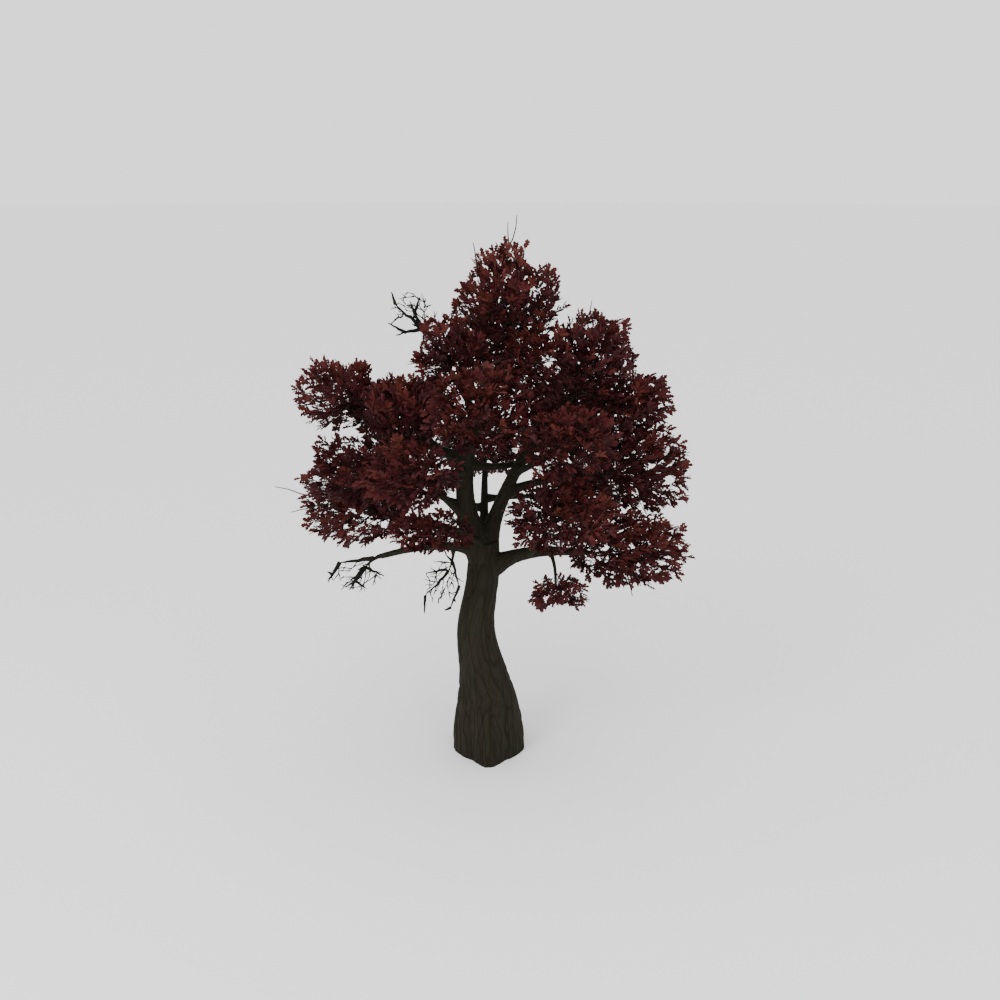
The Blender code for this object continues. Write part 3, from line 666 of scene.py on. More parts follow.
SEGMENTS = limb_segments()
CENTRES = np.array([mass.centre for mass in MASSES])
SIZES = np.array([np.mean(mass.reach) for mass in MASSES])


def limb_gaps(points):
    """How far each point is from the surface of the nearest limb."""
    starts, ends, radii = SEGMENTS
    along = ends - starts
    offset = np.array(points)[:, None, :] - starts
    share = np.clip((offset * along).sum(axis=2) / (along * along).sum(axis=1), 0.0, 1.0)
    return (np.linalg.norm(offset - share[..., None] * along, axis=2) - radii).min(axis=1)


def in_cell(mass, points, room):
    """Which of the points lie in the part of space that is the mass's own."""
    own = [other.name for other in MASSES].index(mass.name)
    points = np.array(points)
    power = ((points[:, None, :] - CENTRES) ** 2).sum(axis=2) - SIZES**2
    spans = 2 * np.linalg.norm(CENTRES - CENTRES[own], axis=1)
    spans[own] = 1.0
    gaps = (power - power[:, own : own + 1]) / spans
    gaps[:, own] = FAR
    return (gaps >= room).all(axis=1)


print("limb capsules:", len(SEGMENTS[0]))

# %% [markdown]
# One rule makes every twig: a bud is scattered in free space, and joins the older twig that it
# can reach most cheaply in length and turning. The solids use this rule for their main twigs,
# so the same seeds give the same main twigs here.

# %% The branching rule
TWIG_TIP_RADIUS = 0.018
TWIG_FOOT_SHARE = 1.25
TWIG_THICKENING = 2.3
SHORT_TWIG = 0.8
SHORTEST_TWIG = 0.12
BEND_SHARE = 0.39
STRAIGHT_STEM = 0.15
STEM_REACH = 0.45
BRANCH_SHARE = 0.6
END_SHARE = 0.96
TURN_COST = 0.9
ROOT_COST = 0.15
BUD_TRIES = 40
BUD_LEAST = 0.45
BUD_INSET = 0.74
FLATTEST = 0.35
SAMPLE_STEP = 0.06
CLEAR = 0.0003
Twig = namedtuple("Twig", "path parent leafy")


def scatter_buds(mass, inset, rng):
    """Bud points spread evenly: each is the best of several tries, the one furthest from the others."""
    reach = [max(side - inset, side * FLATTEST) for side in mass.reach]
    buds = []
    for _ in range(mass.twigs):
        best, best_gap = None, -1.0
        for _ in range(BUD_TRIES):
            direction = Vector([rng.gauss(0, 1) for _ in range(3)]).normalized()
            share = rng.uniform(BUD_LEAST, 1.0) ** (1 / 3)
            bud = Vector([c + d * r * share for c, d, r in zip(mass.centre, direction, reach)])
            if not in_cell(mass, [bud], CELL_ROOM).all():
                continue
            gap = min([(bud - other).length for other in buds], default=1.0)
            if gap > best_gap:
                best, best_gap = bud, gap
        if best is not None:
            buds.append(best)
    return buds


def twig_path(node, heading, bud, short=SHORT_TWIG):
    """A long twig leaves its node partly along the older twig and bends towards its bud."""
    reach = (bud - node).length
    if reach < short:
        return [node, bud]
    towards = (bud - node).normalized()
    bend = node + ((heading + towards).normalized() + towards) * reach * BEND_SHARE / 2
    return [node, bend, bud]


def samples_along(points):
    found = []
    for low, high in zip(points, points[1:]):
        count = max(2, math.ceil((high - low).length / SAMPLE_STEP))
        found += [low.lerp(high, i / count) for i in range(count + 1)]
    return found


def twig_fits(mass, path):
    """Clear of every limb, and in the mass's own cell."""
    samples = samples_along(path)
    inside = in_cell(mass, samples, CELL_ROOM + TWIG_TIP_RADIUS).all()
    return inside and limb_gaps(samples).min() > LIMB_ROOM + TWIG_TIP_RADIUS


def grow_twigs(mass):
    """The mass's stem and main twigs. Each bud joins the node that costs least to reach."""
    rng = random.Random(mass.name + " twigs")
    bough = BY_NAME[mass.bough]
    heading = limb_heading(bough)
    root = Vector(bough.tip) + heading * CLEAR
    first = root + heading * STRAIGHT_STEM
    stem_end = first.lerp(Vector(mass.centre), STEM_REACH)
    twigs = [Twig([root, first, stem_end], None, True)]
    nodes = [(first, heading, 0), (stem_end, (stem_end - first).normalized(), 0)]
    buds = scatter_buds(mass, 0.0 if is_bare(mass) else BUD_INSET, rng)
    buds.sort(key=lambda bud: (bud - root).length)
    for bud, leafy in [(bud, True) for bud in buds] + [(Vector(end), False) for end in mass.spires]:

        def cost(node):
            place, direction, _ = node
            towards = bud - place
            turn = 1.0 - direction.dot(towards.normalized())
            return towards.length * (1.0 + TURN_COST * turn) + ROOT_COST * (place - root).length

        place, direction, parent = min(nodes, key=cost)
        path = twig_path(place, direction, bud)
        if (bud - place).length < SHORTEST_TWIG or not twig_fits(mass, path):
            continue
        twigs.append(Twig(path, parent, leafy))
        if leafy:
            start, end = path[1] - path[0], path[-1] - path[-2]
            nodes.append((path[0] + start * BRANCH_SHARE, start.normalized(), len(twigs) - 1))
            nodes.append((path[-2] + end * END_SHARE, end.normalized(), len(twigs) - 1))
    return twigs


main_twigs = {mass.name: grow_twigs(mass) for mass in MASSES}
print("main twigs:", sum(len(twigs) for twigs in main_twigs.values()))

# %% [markdown]
# The solids stop at the main twigs. Here the rule is carried on to finer ones: one to three
# hundred buds in most masses, scattered evenly inside its reach, each joined to the wood that
# costs least. Where the real crown is open, no bud is set: a table names the lines of sight that
# stay free, each a point in the crown and the radius kept clear round it.

# %% Finer twigs
Opening = namedtuple("Opening", "point radius")
OPENINGS = [
    Opening((3.35, 0.0, 9.55), 0.42),
    Opening((3.32, 0.0, 8.98), 0.24),
    Opening((2.62, 0.0, 10.12), 0.24),
    Opening((0.98, 0.0, 11.20), 0.24),
    Opening((-0.66, 0.0, 11.02), 0.36),
    Opening((-2.95, 0.0, 9.22), 0.24),
    Opening((-4.12, 0.0, 6.95), 0.40),
    Opening((1.6, -0.9, 3.50), 0.42),
    Opening((-1.75, 0.3, 9.50), 0.38),
    Opening((-0.33, 0.0, 6.35), 0.20),
]
BUDS_PER_VOLUME = 34.0
BARE_BUDS_PER_VOLUME = 150.0
FINE_TRIES = 5
FINE_LEAST = 0.02
FINE_INSET = 0.20
BARE_INSET = 0.02
FINE_POINTS = 4
FINE_BEND = 0.25
FINE_CROOKED = 0.035
SHORTEST_FINE = 0.06
RAGGED = 0.26
RAGGED_WAVES = 4.5
STURDY_STEP = 0.16
MOST_TURN = 1.35
TOO_DEAR = 10.0
FINE_TIP = 0.0055
FINE_FOOT = 0.0095
BARE_FOOT = 0.022


def in_opening(points):
    """Which points lie in a line of sight that the crown leaves free."""
    eye = np.array(camera.location)
    blocked = np.zeros(len(points), bool)
    for opening in OPENINGS:
        line = np.array(opening.point) - eye
        length = np.linalg.norm(line)
        line /= length
        offset = points - eye
        along = offset @ line
        away = np.linalg.norm(offset - along[:, None] * line, axis=1)
        blocked |= away < opening.radius * along / length
    return blocked


def fine_buds(mass, rng):
    """Evenly scattered bud points, out to a slightly ragged edge of the mass's space."""
    volume = 4 / 3 * math.pi * np.prod(mass.reach)
    count = round(volume * (BARE_BUDS_PER_VOLUME if is_bare(mass) else BUDS_PER_VOLUME))
    reach = np.array(mass.reach) * LEAF_SWELL - (BARE_INSET if is_bare(mass) else FINE_INSET)
    direction = rng.normal(size=(count * FINE_TRIES * 2, 3))
    direction /= np.linalg.norm(direction, axis=1, keepdims=True)
    share = rng.uniform(FINE_LEAST, 1.0, len(direction)) ** (1 / 3)
    edge = 1.0 - RAGGED * (0.5 + 0.5 * noise(direction * RAGGED_WAVES + len(mass.name)))
    points = np.array(mass.centre) + direction * reach * (share * edge)[:, None]
    points = points[in_cell(mass, points, CELL_ROOM * 3)]
    points = points[limb_gaps(points) > LIMB_ROOM * 2]
    points = points[~in_opening(points)]
    buds = points[:1]
    for start in range(1, len(points) - FINE_TRIES, FINE_TRIES):
        if len(buds) >= count:
            break
        tries = points[start : start + FINE_TRIES]
        gaps = np.linalg.norm(tries[:, None, :] - buds, axis=2).min(axis=1)
        buds = np.concatenate([buds, tries[np.argmax(gaps)][None]])
    return buds


def wood_nodes(twigs):
    """Places along the main twigs where a finer one may start, and the way the wood runs there."""
    places, headings = [], []
    for twig in twigs:
        for low, high in zip(twig.path, twig.path[1:]):
            count = max(1, round((high - low).length / STURDY_STEP))
            for i in range(count):
                places.append(low.lerp(high, (i + 1) / count))
                headings.append((high - low).normalized())
    return np.array(places), np.array(headings)


def grow_fine(mass, twigs):
    """Finer twigs as paths of a few points, each with the number of fine twigs that it carries."""
    rng = np.random.default_rng(sum(map(ord, mass.name)))
    root = np.array(twigs[0].path[0])
    places, headings = wood_nodes([twig for twig in twigs if twig.leafy])
    owners = np.full(len(places), -1)
    buds = fine_buds(mass, rng)
    buds = buds[np.argsort(np.linalg.norm(buds - root, axis=1))]
    paths, parents = [], []
    for bud in buds:
        towards = bud - places
        length = np.linalg.norm(towards, axis=1)
        turn = 1.0 - (headings * towards).sum(axis=1) / np.maximum(length, 1e-6)
        cost = length * (1.0 + TURN_COST * turn) + ROOT_COST * np.linalg.norm(places - root, axis=1)
        cost[turn > MOST_TURN] += TOO_DEAR
        best = np.argmin(cost)
        if length[best] < SHORTEST_FINE:
            continue
        node, heading = places[best], headings[best]
        way = towards[best] / length[best]
        first = (heading + way) / np.linalg.norm(heading + way)
        bend = node + (first + way) * length[best] * FINE_BEND
        shares = np.linspace(0, 1, FINE_POINTS)[:, None]
        path = (1 - shares) ** 2 * node + 2 * shares * (1 - shares) * bend + shares**2 * bud
        path[1:-1] += rng.normal(0, FINE_CROOKED * length[best], (FINE_POINTS - 2, 3))
        if limb_gaps(path[1:]).min() < LIMB_ROOM:
            continue
        paths.append(path)
        parents.append(owners[best])
        end = path[-1] - path[-2]
        end /= np.linalg.norm(end)
        middle = path[2] - path[1]
        middle /= np.linalg.norm(middle)
        places = np.concatenate([places, [path[-2], path[-1]]])
        headings = np.concatenate([headings, [middle, end]])
        owners = np.concatenate([owners, [len(paths) - 1] * 2])
    carried = np.ones(len(paths))
    for index in range(len(paths) - 1, -1, -1):
        if parents[index] >= 0:
            carried[parents[index]] += carried[index]
    return np.array(paths), carried


fine_twigs = {mass.name: grow_fine(mass, main_twigs[mass.name]) for mass in MASSES}
print("fine twigs:", sum(len(paths) for paths, _ in fine_twigs.values()))

# %% [markdown]
# Thousands of twigs are too many to model one by one. Each is a tapering tube of a few sides,
# and one function makes all tubes of a kind at once, as arrays of corners and walls.

# %% Tubes as arrays


def tubes(paths, radii, sides):
    """Corners and faces of many closed tapering tubes. paths is twigs by points by 3."""
    along = np.gradient(paths, axis=1)
    along /= np.linalg.norm(along, axis=2, keepdims=True)
    spare = np.where(np.abs(along[:, :1, 2:]) < 0.9, [[[0.0, 0.0, 1.0]]], [[[1.0, 0.0, 0.0]]])[:, 0]
    across = np.zeros_like(paths)
    for i in range(paths.shape[1]):
        direction = along[:, i]
        spare = spare - direction * (spare * direction).sum(axis=1, keepdims=True)
        spare /= np.linalg.norm(spare, axis=1, keepdims=True)
        across[:, i] = spare
    side = np.cross(along, across)
    turns = 2 * np.pi * np.arange(sides) / sides
    ring = np.cos(turns)[:, None] * across[:, :, None, :] + np.sin(turns)[:, None] * side[:, :, None, :]
    corners = paths[:, :, None, :] + radii[:, :, None, None] * ring
    twigs, points = paths.shape[:2]
    number = np.arange(twigs * points * sides).reshape(twigs, points, sides)
    low, high = number[:, :-1], number[:, 1:]
    walls = np.stack([low, np.roll(low, -1, axis=2), np.roll(high, -1, axis=2), high], axis=3)
    caps = [number[:, 0, ::-1], number[:, -1]]
    return corners.reshape(-1, 3), walls.reshape(-1, 4), np.concatenate(caps)


def joined(name, groups):
    """One mesh object from several groups of corners, walls and caps."""
    corners, faces, base = [], [], 0
    for points, *face_sets in groups:
        corners.append(points)
        for found in face_sets:
            faces.extend((found + base).tolist())
        base += len(points)
    mesh = bpy.data.meshes.new(name)
    mesh.from_pydata(np.concatenate(corners).tolist(), [], faces)
    obj = bpy.data.objects.new(name, mesh)
    bpy.context.scene.collection.objects.link(obj)
    mesh.calc_loop_triangles()
    print(name, len(mesh.loop_triangles), "triangles")
    return obj


straight = np.array([[[0.0, 0.0, 0.0], [0.0, 0.0, 1.0]]])
print("a tube of 2 points and 3 sides has", len(tubes(straight, np.ones((1, 2)), 3)[0]), "corners")

# %% [markdown]
# The main twigs have few points in the solids. Here each becomes a soft, slightly crooked curve.
# A twig is as thick at its foot as all that it carries, which is the pipe rule that real trees
# keep close to, and dead twigs are the sturdier ones, because thin dead wood falls.

# %% Main twigs drawn smooth
MAIN_POINTS = 8
MAIN_SIDES = 6
CROOKED = 0.018
SOFTENING = 0.5
TIP_THINNING = 0.45
MAIN_TAPER = 0.8
STEM_SUNK = 0.06
FINE_SIDES = 3
DEAD_GIRTH = 1.7


def foot_radii(mass, twigs):
    """By the pipe rule a twig is as thick at its foot as all that it carries."""
    carried = [1.0] * len(twigs)
    for index in range(len(twigs) - 1, 0, -1):
        carried[twigs[index].parent] += carried[index]
    stem = BY_NAME[mass.bough].tip_radius
    slim = TWIG_TIP_RADIUS * TWIG_FOOT_SHARE * (DEAD_GIRTH if is_bare(mass) else 1.0)
    return [stem] + [min(stem, slim * count ** (1 / TWIG_THICKENING)) for count in carried[1:]]


def smooth_path(path, rng):
    """The twig's few points as a soft curve of more points, a little crooked in between."""
    points = np.array(path)
    if len(points) == 2:
        points = np.array([points[0], points.mean(axis=0), points[1]])
    shares = np.linspace(0, 1, MAIN_POINTS)[:, None]
    middle = points[1] * 2 - (points[0] + points[2]) / 2
    middle = points[1] + (middle - points[1]) * SOFTENING
    curve = (1 - shares) ** 2 * points[0] + 2 * shares * (1 - shares) * middle + shares**2 * points[2]
    length = np.linalg.norm(points[2] - points[0])
    curve[1:-1] += rng.normal(0, CROOKED * length, (MAIN_POINTS - 2, 3)) * np.sin(shares[1:-1] * math.pi)
    return curve


def main_tubes(mass):
    """The main twigs of a mass, the stem begun inside the bough's end."""
    rng = np.random.default_rng(len(mass.name) + sum(map(ord, mass.name)))
    twigs = main_twigs[mass.name]
    paths, radii = [], []
    for twig, foot in zip(twigs, foot_radii(mass, twigs)):
        path = list(twig.path)
        if twig.parent is None:
            path[0] = path[0] - (path[1] - path[0]).normalized() * STEM_SUNK
        curve = smooth_path(path, rng)
        tip = TWIG_TIP_RADIUS * TIP_THINNING
        paths.append(curve)
        radii.append(tip + (foot - tip) * (1 - np.linspace(0, 1, MAIN_POINTS)) ** MAIN_TAPER)
    return tubes(np.array(paths), np.array(radii), MAIN_SIDES)


def fine_tubes(mass):
    paths, carried = fine_twigs[mass.name]
    foot = (BARE_FOOT if is_bare(mass) else FINE_FOOT) * carried ** (1 / TWIG_THICKENING)
    foot = np.minimum(foot, TWIG_TIP_RADIUS)
    shares = np.linspace(0, 1, FINE_POINTS)
    return tubes(paths, FINE_TIP + (foot[:, None] - FINE_TIP) * (1 - shares), FINE_SIDES)


living = [mass for mass in MASSES if not is_bare(mass)]
dead = [mass for mass in MASSES if is_bare(mass)]
twig_piece = joined("twigs", [make(mass) for mass in living for make in (main_tubes, fine_tubes)])
dead_piece = joined("dead_twigs", [make(mass) for mass in dead for make in (main_tubes, fine_tubes)])

# %% [markdown]
# An oak leaf is a lobed blade on a short stalk. One is modelled: a narrow grid with a
# midrib, whose end row is extruded and widened or narrowed row by row into lobes and bays. The
# ribs across it that don't bend are dissolved again, so that it stays at eighteen triangles:
# it is copied tens of thousands of times.

# %% One leaf
LeafRow = namedtuple("LeafRow", "along half_width")
LEAF_ROWS = [
    LeafRow(0.10, 0.012), LeafRow(0.24, 0.15), LeafRow(0.33, 0.075), LeafRow(0.50, 0.235),
    LeafRow(0.60, 0.11), LeafRow(0.75, 0.21), LeafRow(0.84, 0.11), LeafRow(1.0, 0.02),
]
KEPT_RIBS = (0.0, 0.33, 0.60, 1.0)
SAME_ROW = 0.01
SAME_LINE = 0.001


def pick_corners(obj, wanted):
    """Selects the corners for which wanted says yes, and the edges and faces between them."""
    for face in obj.data.polygons:
        face.select = False
    for edge in obj.data.edges:
        edge.select = False
    for corner in obj.data.vertices:
        corner.select = bool(wanted(corner.co))
    for edge in obj.data.edges:
        edge.select = all(obj.data.vertices[i].select for i in edge.vertices)


bpy.ops.object.select_all(action="DESELECT")
bpy.ops.mesh.primitive_grid_add(x_subdivisions=2, y_subdivisions=1, size=1.0, location=(0, 0, 0))
leaf = bpy.context.object
for corner in leaf.data.vertices:
    corner.co.x *= 2 * LEAF_ROWS[0].half_width
    corner.co.y = LEAF_ROWS[0].along if corner.co.y > 0 else 0.0
pick_corners(leaf, lambda co: co.y > SAME_ROW)
bpy.ops.object.mode_set(mode="EDIT")
bpy.ops.mesh.select_mode(type="EDGE")
for before, row in zip(LEAF_ROWS, LEAF_ROWS[1:]):
    bpy.ops.mesh.extrude_region_move(TRANSFORM_OT_translate={"value": (0, row.along - before.along, 0)})
    bpy.ops.transform.resize(value=(row.half_width / before.half_width, 1, 1))
bpy.ops.mesh.merge(type="CENTER")
bpy.ops.object.mode_set(mode="OBJECT")
pick_corners(leaf, lambda co: co.y < SAME_ROW)
bpy.ops.object.mode_set(mode="EDIT")
bpy.ops.mesh.merge(type="CENTER")
bpy.ops.object.mode_set(mode="OBJECT")
print("rows of the leaf:", sorted({round(corner.co.y, 2) for corner in leaf.data.vertices}))

# %% Fewer faces in the leaf


def is_kept(along):
    return any(abs(along - kept) < SAME_ROW for kept in KEPT_RIBS)


pick_corners(leaf, lambda co: False)
for edge in leaf.data.edges:
    low, high = (leaf.data.vertices[i].co for i in edge.vertices)
    edge.select = abs(low.y - high.y) < SAME_LINE and not is_kept(low.y)
bpy.ops.object.mode_set(mode="EDIT")
bpy.ops.mesh.select_mode(type="EDGE")
bpy.ops.mesh.dissolve_edges(use_verts=False)
bpy.ops.object.mode_set(mode="OBJECT")
pick_corners(leaf, lambda co: abs(co.x) < SAME_LINE and not is_kept(co.y))
bpy.ops.object.mode_set(mode="EDIT")
bpy.ops.mesh.select_mode(type="VERT")
bpy.ops.mesh.dissolve_verts()
bpy.ops.object.mode_set(mode="OBJECT")
leaf_corners = np.array([corner.co[:] for corner in leaf.data.vertices])
leaf_faces = np.array([list(face.vertices) for face in leaf.data.polygons])
bpy.data.objects.remove(leaf, do_unlink=True)
print("one leaf:", len(leaf_corners), "corners and", len(leaf_faces), "faces")

# %% [markdown]
# Oak leaves crowd round the ends of the year's twigs, so every fine twig carries one spray: a
# leaf at its tip and others to its left and right, all roughly in one plane that faces out and
# up to the light. Each leaf is folded along its midrib and droops by its own amount.

# %% Leaves in sprays
Slot = namedtuple("Slot", "back aside size")
SLOTS = [
    Slot(0.00, 0.05, 1.00), Slot(0.01, 0.50, 0.95), Slot(0.02, -0.50, 0.95), Slot(0.06, 0.90, 0.85),
    Slot(0.09, -0.85, 0.90), Slot(0.16, 0.60, 0.85), Slot(0.21, -0.65, 0.80),
]
LEAF_LENGTHS = (0.17, 0.25)
STREAMING = 1.5
FRONT_SHARE = 0.35
UPWARD_SHARE = 0.8
FACE_CHANCE = 0.45
LEAF_CHANCE = 0.33
LIFT = (-0.25, 0.45)
FOLDS = (0.1, 0.55)
DROOPS = (-0.08, 0.30)
LEAF_ROOM = 0.01
LEAST_HEIGHT = 0.1
FURTHEST = 1.02
LEAF_WAIST = 0.6
SLOT_CHANCE = 0.02
TURN_CHANCE = 0.15
CROWN_MIDDLE = np.array([0.0, 0.3, 7.0])


def unit(vectors):
    return vectors / np.maximum(np.linalg.norm(vectors, axis=-1, keepdims=True), TINY)


def across_to(vectors, along):
    """The part of each vector that lies across the direction, at length 1."""
    return unit(vectors - along * (vectors * along).sum(axis=-1, keepdims=True))


def along_path(paths, back):
    """The point of each path that lies so far back from its end."""
    steps = np.linalg.norm(np.diff(paths, axis=1), axis=2)
    left = np.minimum(back, steps.sum(axis=1) * 0.9)
    found = paths[:, -1].copy()
    for i in range(steps.shape[1] - 1, -1, -1):
        taken = np.minimum(left, steps[:, i])
        found += (paths[:, i] - paths[:, i + 1]) * (taken / np.maximum(steps[:, i], TINY))[:, None]
        left = left - taken
    return found


def leaves_of(mass):
    """All leaves of a mass: their roots, three axes each scaled to the leaf, and their spray's number."""
    rng = np.random.default_rng(7 + sum(map(ord, mass.name)))
    paths, _ = fine_twigs[mass.name]
    root = np.array(BY_NAME[mass.bough].tip)
    outwards = unit(paths[:, -1] - root)
    along = unit(unit(paths[:, -1] - paths[:, -2]) + outwards * STREAMING)
    away = unit(paths[:, -1] - CROWN_MIDDLE)
    face = away * FRONT_SHARE + np.array([0, 0, UPWARD_SHARE])
    face = across_to(face + rng.normal(0, FACE_CHANCE, along.shape), along)
    side = np.cross(along, face)
    found = []
    for slot in SLOTS:
        root = along_path(paths, slot.back + rng.uniform(0, SLOT_CHANCE, len(paths)))
        turn = (slot.aside + rng.normal(0, TURN_CHANCE, len(paths)))[:, None]
        lift = rng.uniform(*LIFT, len(paths))[:, None]
        direction = unit(along * np.cos(turn) + side * np.sin(turn) + face * lift)
        own_face = across_to(face + rng.normal(0, LEAF_CHANCE, face.shape), direction)
        length = (rng.uniform(*LEAF_LENGTHS, len(paths)) * slot.size)[:, None]
        axes = np.stack([np.cross(direction, own_face), direction, own_face], axis=1) * length[:, None]
        tip = root + direction * length
        spot = (tip - np.array(mass.centre)) / (np.array(mass.reach) * LEAF_SWELL)
        good = (spot * spot).sum(axis=1) < FURTHEST
        good &= ~in_opening(root + direction * length * LEAF_WAIST)
        good &= limb_gaps(tip) > LEAF_ROOM
        good &= tip[:, 2] > LEAST_HEIGHT
        sprays = np.arange(len(paths))
        found.append((root[good], axes[good], sprays[good]))
    return [np.concatenate(part) for part in zip(*found)]


leafage = {mass.name: leaves_of(mass) for mass in living}
print("leaves:", sum(len(roots) for roots, _, _ in leafage.values()))

# %% [markdown]
# Autumn colour comes spray by spray. The tints also carry painted light: sprays high in their mass
# and further out get the bright tints as painted highlight, and the inner and lower ones get the
# dark tints as painted shade, with real patches and chance mixed in. Each tint is a piece with one
# plain colour, and whole sprays are dealt to the tints.

# %% Tints
Tint = namedtuple("Tint", "name share colour")
TINTS = [
    Tint("leaves_maroon", 0.20, (0.0380, 0.0100, 0.0102)),
    Tint("leaves_wine", 0.22, (0.0460, 0.0096, 0.0108)),
    Tint("leaves_dark_red", 0.22, (0.0520, 0.0096, 0.0100)),
    Tint("leaves_crimson", 0.18, (0.0600, 0.0104, 0.0102)),
    Tint("leaves_brick", 0.12, (0.0680, 0.0122, 0.0104)),
    Tint("leaves_russet", 0.06, (0.0780, 0.0165, 0.0118)),
]
# The height and outer weights paint light onto the tints; the patch and chance weights are real variation
# between sprays.
PAINTED_TOP_LIGHT = 0.45
PAINTED_OUTER_LIGHT = 0.25
PATCH_WEIGHT = 0.55
CHANCE_WEIGHT = 0.30
PATCH_SIZE = 0.9


def painted_light_and_tint_of(mass):
    """How bright a tint each spray gets: painted highlight higher and further out, painted shade lower and
    inside, and real patches and chance.
    """
    rng = np.random.default_rng(11 + sum(map(ord, mass.name)))
    ends = fine_twigs[mass.name][0][:, -1]
    spot = (ends - np.array(mass.centre)) / np.array(mass.reach)
    outside = ((ends - np.array(mass.centre)) * unit(ends - CROWN_MIDDLE)).sum(axis=1)
    # Painted light: higher and further-out sprays get brighter tints, and lower and inner ones darker tints
    # as painted shade.
    value = PAINTED_TOP_LIGHT * spot[:, 2] + PAINTED_OUTER_LIGHT * outside
    return value + PATCH_WEIGHT * noise(ends / PATCH_SIZE) + CHANCE_WEIGHT * rng.normal(size=len(ends))


painted_light_and_tint = {mass.name: painted_light_and_tint_of(mass) for mass in living}
everything = np.concatenate(list(painted_light_and_tint.values()))
limits = np.quantile(everything, np.cumsum([tint.share for tint in TINTS])[:-1])
print("tint limits:", limits.round(2))

# %% [markdown]
# Every leaf is the one leaf again, bent by its own fold and droop, then turned and sized by its
# three axes. Copying and joining tens of thousands of objects would be slow, so one array sum
# does it for all the leaves of a tint.

# %% Leaf pieces


def leaf_piece(tint, index):
    """All leaves of one tint as one mesh."""
    rng = np.random.default_rng(index)
    roots, axes = [], []
    for mass in living:
        root, axis, sprays = leafage[mass.name]
        # Each spray's tint carries painted light as well as its own autumn colour.
        own = np.searchsorted(limits, painted_light_and_tint[mass.name])[sprays] == index
        roots.append(root[own])
        axes.append(axis[own])
    roots, axes = np.concatenate(roots), np.concatenate(axes)
    fold = rng.uniform(*FOLDS, (len(roots), 1))
    droop = rng.uniform(*DROOPS, (len(roots), 1))
    across, along = leaf_corners[:, 0], leaf_corners[:, 1]
    height = fold * np.abs(across) - droop * along**2
    flat = np.broadcast_to(leaf_corners[:, :2], (len(roots), len(leaf_corners), 2))
    shaped = np.concatenate([flat, height[..., None]], axis=2)
    corners = roots[:, None, :] + np.einsum("lcj,ljk->lck", shaped, axes)
    faces = leaf_faces + (np.arange(len(roots)) * len(leaf_corners))[:, None, None]
    return joined(tint.name, [(corners.reshape(-1, 3), faces.reshape(-1, leaf_faces.shape[1]))])


leaf_pieces = [leaf_piece(tint, index) for index, tint in enumerate(TINTS)]

# %% [markdown]
# Materials are node trees. A small class wraps one output socket, so that sums and products of
# sockets can be written as plain expressions, and one method adds any other node.

# %% Node helpers


class Wire:
    """An output socket. Sums and products of wires and numbers add their Math nodes."""

    def __init__(self, socket):
        self.socket = socket

    def maths(self, operation, first, second):
        tree = Finish(self.socket.id_data)
        return tree.node("ShaderNodeMath", {0: first, 1: second}, operation=operation)

    def __add__(self, other):
        return self.maths("ADD", self, other)

    __radd__ = __add__

    def __sub__(self, other):
        return self.maths("SUBTRACT", self, other)

    def __rsub__(self, other):
        return self.maths("SUBTRACT", other, self)

    def __mul__(self, other):
        return self.maths("MULTIPLY", self, other)

    __rmul__ = __mul__

    def __pow__(self, other):
        return self.maths("POWER", self, other)


class Finish:
    """A node tree, and the one method that adds a node to it."""

    def __init__(self, tree):
        self.tree = tree

    def node(self, kind, sockets=None, out=0, stops=None, **settings):
        made = self.tree.nodes.new(kind)
        for name, value in settings.items():
            setattr(made, name, value)
        if stops:
            ramp = made.color_ramp
            while len(ramp.elements) < len(stops):
                ramp.elements.new(0.5)
            for element, (place, colour) in zip(ramp.elements, stops):
                element.position = place
                element.color = (*colour, 1.0)
        for key, value in (sockets or {}).items():
            if isinstance(value, Wire):
                self.tree.links.new(value.socket, made.inputs[key])
            else:
                made.inputs[key].default_value = value
        return Wire(made.outputs[out]) if made.outputs else None


def new_material(name):
    """A material with a Principled shader, and the finish that adds nodes to it."""
    made = bpy.data.materials.new(name)
    made.use_nodes = True
    return made, Finish(made.node_tree), made.node_tree.nodes["Principled BSDF"]


def feed(finish, shader, name, wire):
    finish.tree.links.new(wire.socket, shader.inputs[name])


def noise_over(finish, place, scale, detail, roughness=0.5):
    """A Noise Texture read at the given place."""
    sockets = {"Vector": place, "Scale": scale, "Detail": detail, "Roughness": roughness}
    return finish.node("ShaderNodeTexNoise", sockets)


print("node helpers are ready")

# %% [markdown]
# Bark is grey-brown with an olive cast of algae, dark in its furrows and paler on the ridges
# that weather. The relief and the grain were stored on the skin, so the colour follows them:
# streaks run up the trunk and out along each bough.

# %% Bark finish
WOOD_SHEEN = 0.12
DARK_FURROW = (0.0062, 0.0050, 0.0030)
BARK_BROWN = (0.0125, 0.0105, 0.0060)
PALE_RIDGE = (0.0190, 0.0165, 0.0110)
ALGAE = (0.0115, 0.0125, 0.0060)
STREAK_SCALE = (9.0, 9.0, 1.4)
FIBRE_SCALE = (60.0, 60.0, 14.0)

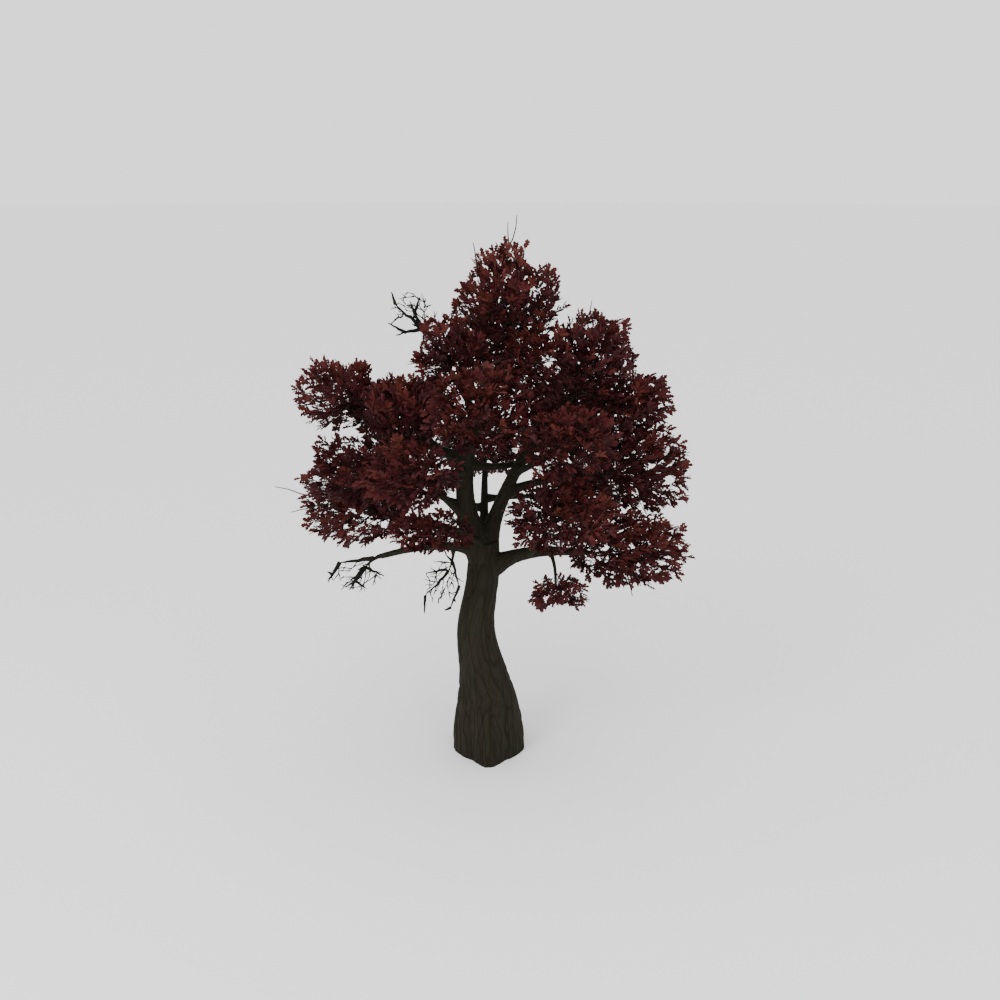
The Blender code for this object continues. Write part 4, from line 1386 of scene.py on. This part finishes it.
bark_material, finish, shader = new_material("bark")
grain_wire = finish.node("ShaderNodeAttribute", attribute_name="grain", out="Vector")
relief_wire = finish.node("ShaderNodeAttribute", attribute_name="relief", out="Fac")
streak_place = finish.node("ShaderNodeMapping", {"Vector": grain_wire, "Scale": STREAK_SCALE})
streaks = noise_over(finish, streak_place, 1.0, 5.0, 0.6)
fibre_place = finish.node("ShaderNodeMapping", {"Vector": grain_wire, "Scale": FIBRE_SCALE})
fibres = noise_over(finish, fibre_place, 1.0, 4.0, 0.65)
where = finish.node("ShaderNodeTexCoord", out="Object")
patches = noise_over(finish, where, 1.1, 3.0)
shade = relief_wire * 0.55 + streaks * 0.55 + fibres * 0.35 - 0.25
wood_stops = [(0.12, DARK_FURROW), (0.5, BARK_BROWN), (0.95, PALE_RIDGE)]
wood = finish.node("ShaderNodeValToRGB", {"Fac": shade}, stops=wood_stops)
moss_range = {"Value": patches, "From Min": 0.48, "From Max": 0.68, "To Max": 0.6}
mossy = finish.node("ShaderNodeMapRange", moss_range)
coloured = finish.node("ShaderNodeMix", {0: mossy, 6: wood, 7: (*ALGAE, 1.0)}, data_type="RGBA", out=2)
rough = finish.node("ShaderNodeMapRange", {"Value": shade, "To Min": 0.95, "To Max": 0.78})
fissures = fibres * 0.6 + streaks * 0.4
bumps = finish.node("ShaderNodeBump", {"Strength": 0.5, "Distance": 0.006, "Height": fissures})
shader.inputs["Specular IOR Level"].default_value = WOOD_SHEEN
feed(finish, shader, "Base Color", coloured)
feed(finish, shader, "Roughness", rough)
feed(finish, shader, "Normal", bumps)
bark.data.materials.clear()
bark.data.materials.append(bark_material)
print("bark finish:", len(bark_material.node_tree.nodes), "nodes")

# %% [markdown]
# Twigs are smoother than old bark: grey-olive where they live, and a blackened brown where they
# are dead and wet. Their pattern is read in the object's own space, because a twig is too thin
# to show which way it runs.

# %% Twig finishes
LIVING_DARK = (0.0085, 0.0078, 0.0054)
LIVING_PALE = (0.0200, 0.0190, 0.0140)
DEAD_DARK = (0.0040, 0.0038, 0.0030)
DEAD_PALE = (0.0110, 0.0102, 0.0078)


def twig_material(name, dark, pale):
    """A twig's skin, between a dark and a pale tone."""
    made, finish, shader = new_material(name)
    where = finish.node("ShaderNodeTexCoord", out="Object")
    blotches = noise_over(finish, where, 3.0, 3.0)
    flecks = noise_over(finish, where, 45.0, 3.0, 0.6)
    shade = blotches * 0.6 + flecks * 0.4
    shader.inputs["Specular IOR Level"].default_value = WOOD_SHEEN
    colour = finish.node("ShaderNodeValToRGB", {"Fac": shade}, stops=[(0.35, dark), (0.65, pale)])
    bumps = finish.node("ShaderNodeBump", {"Strength": 0.35, "Distance": 0.003, "Height": flecks})
    feed(finish, shader, "Base Color", colour)
    feed(finish, shader, "Roughness", 1.0 - flecks * 0.3)
    feed(finish, shader, "Normal", bumps)
    return made


twig_piece.data.materials.append(twig_material("living_twigs", LIVING_DARK, LIVING_PALE))
dead_piece.data.materials.append(twig_material("dead_twigs", DEAD_DARK, DEAD_PALE))
print("twig finishes are on")

# %% [markdown]
# A leaf's tint is one plain colour. What varies is the spray, the fold and the turn of each leaf
# to the light. Dry autumn leaves shine little, so their gloss is set low. The floor is plain.

# %% Leaf and floor finishes
LEAF_ROUGHNESS = 0.7
LEAF_SHEEN = 0.15
FLOOR_COLOUR = (0.93, 0.93, 0.93, 1.0)
FLOOR_ROUGHNESS = 0.9
for piece, tint in zip(leaf_pieces, TINTS):
    material, _, shader = new_material(tint.name)
    shader.inputs["Base Color"].default_value = (*tint.colour, 1.0)
    shader.inputs["Roughness"].default_value = LEAF_ROUGHNESS
    shader.inputs["Specular IOR Level"].default_value = LEAF_SHEEN
    piece.data.materials.append(material)
floor_material, _, shader = new_material("pale_floor")
shader.inputs["Base Color"].default_value = FLOOR_COLOUR
shader.inputs["Roughness"].default_value = FLOOR_ROUGHNESS
floor.data.materials.append(floor_material)
print("leaf and floor finishes are on")

# %% [markdown]
# Last, each piece is tied to the body that it belongs to, and the solids that it stands for are hidden.
# The tree has no moving part, so all of it rides on one body.

# %% Pieces and the solids they stand for
limb_names = ["trunk"] + [limb.name for limb in LIMBS]
living_names = [mass.name for mass in living]
dead_names = [mass.name for mass in dead]
for piece, names, slot_name in [
    (bark, limb_names, "bark"),
    (twig_piece, living_names, "bark"),
    (dead_piece, dead_names, "dead_twigs"),
    *[(piece, living_names, "foliage") for piece in leaf_pieces],
]:
    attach(piece, "root")
    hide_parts(*names)
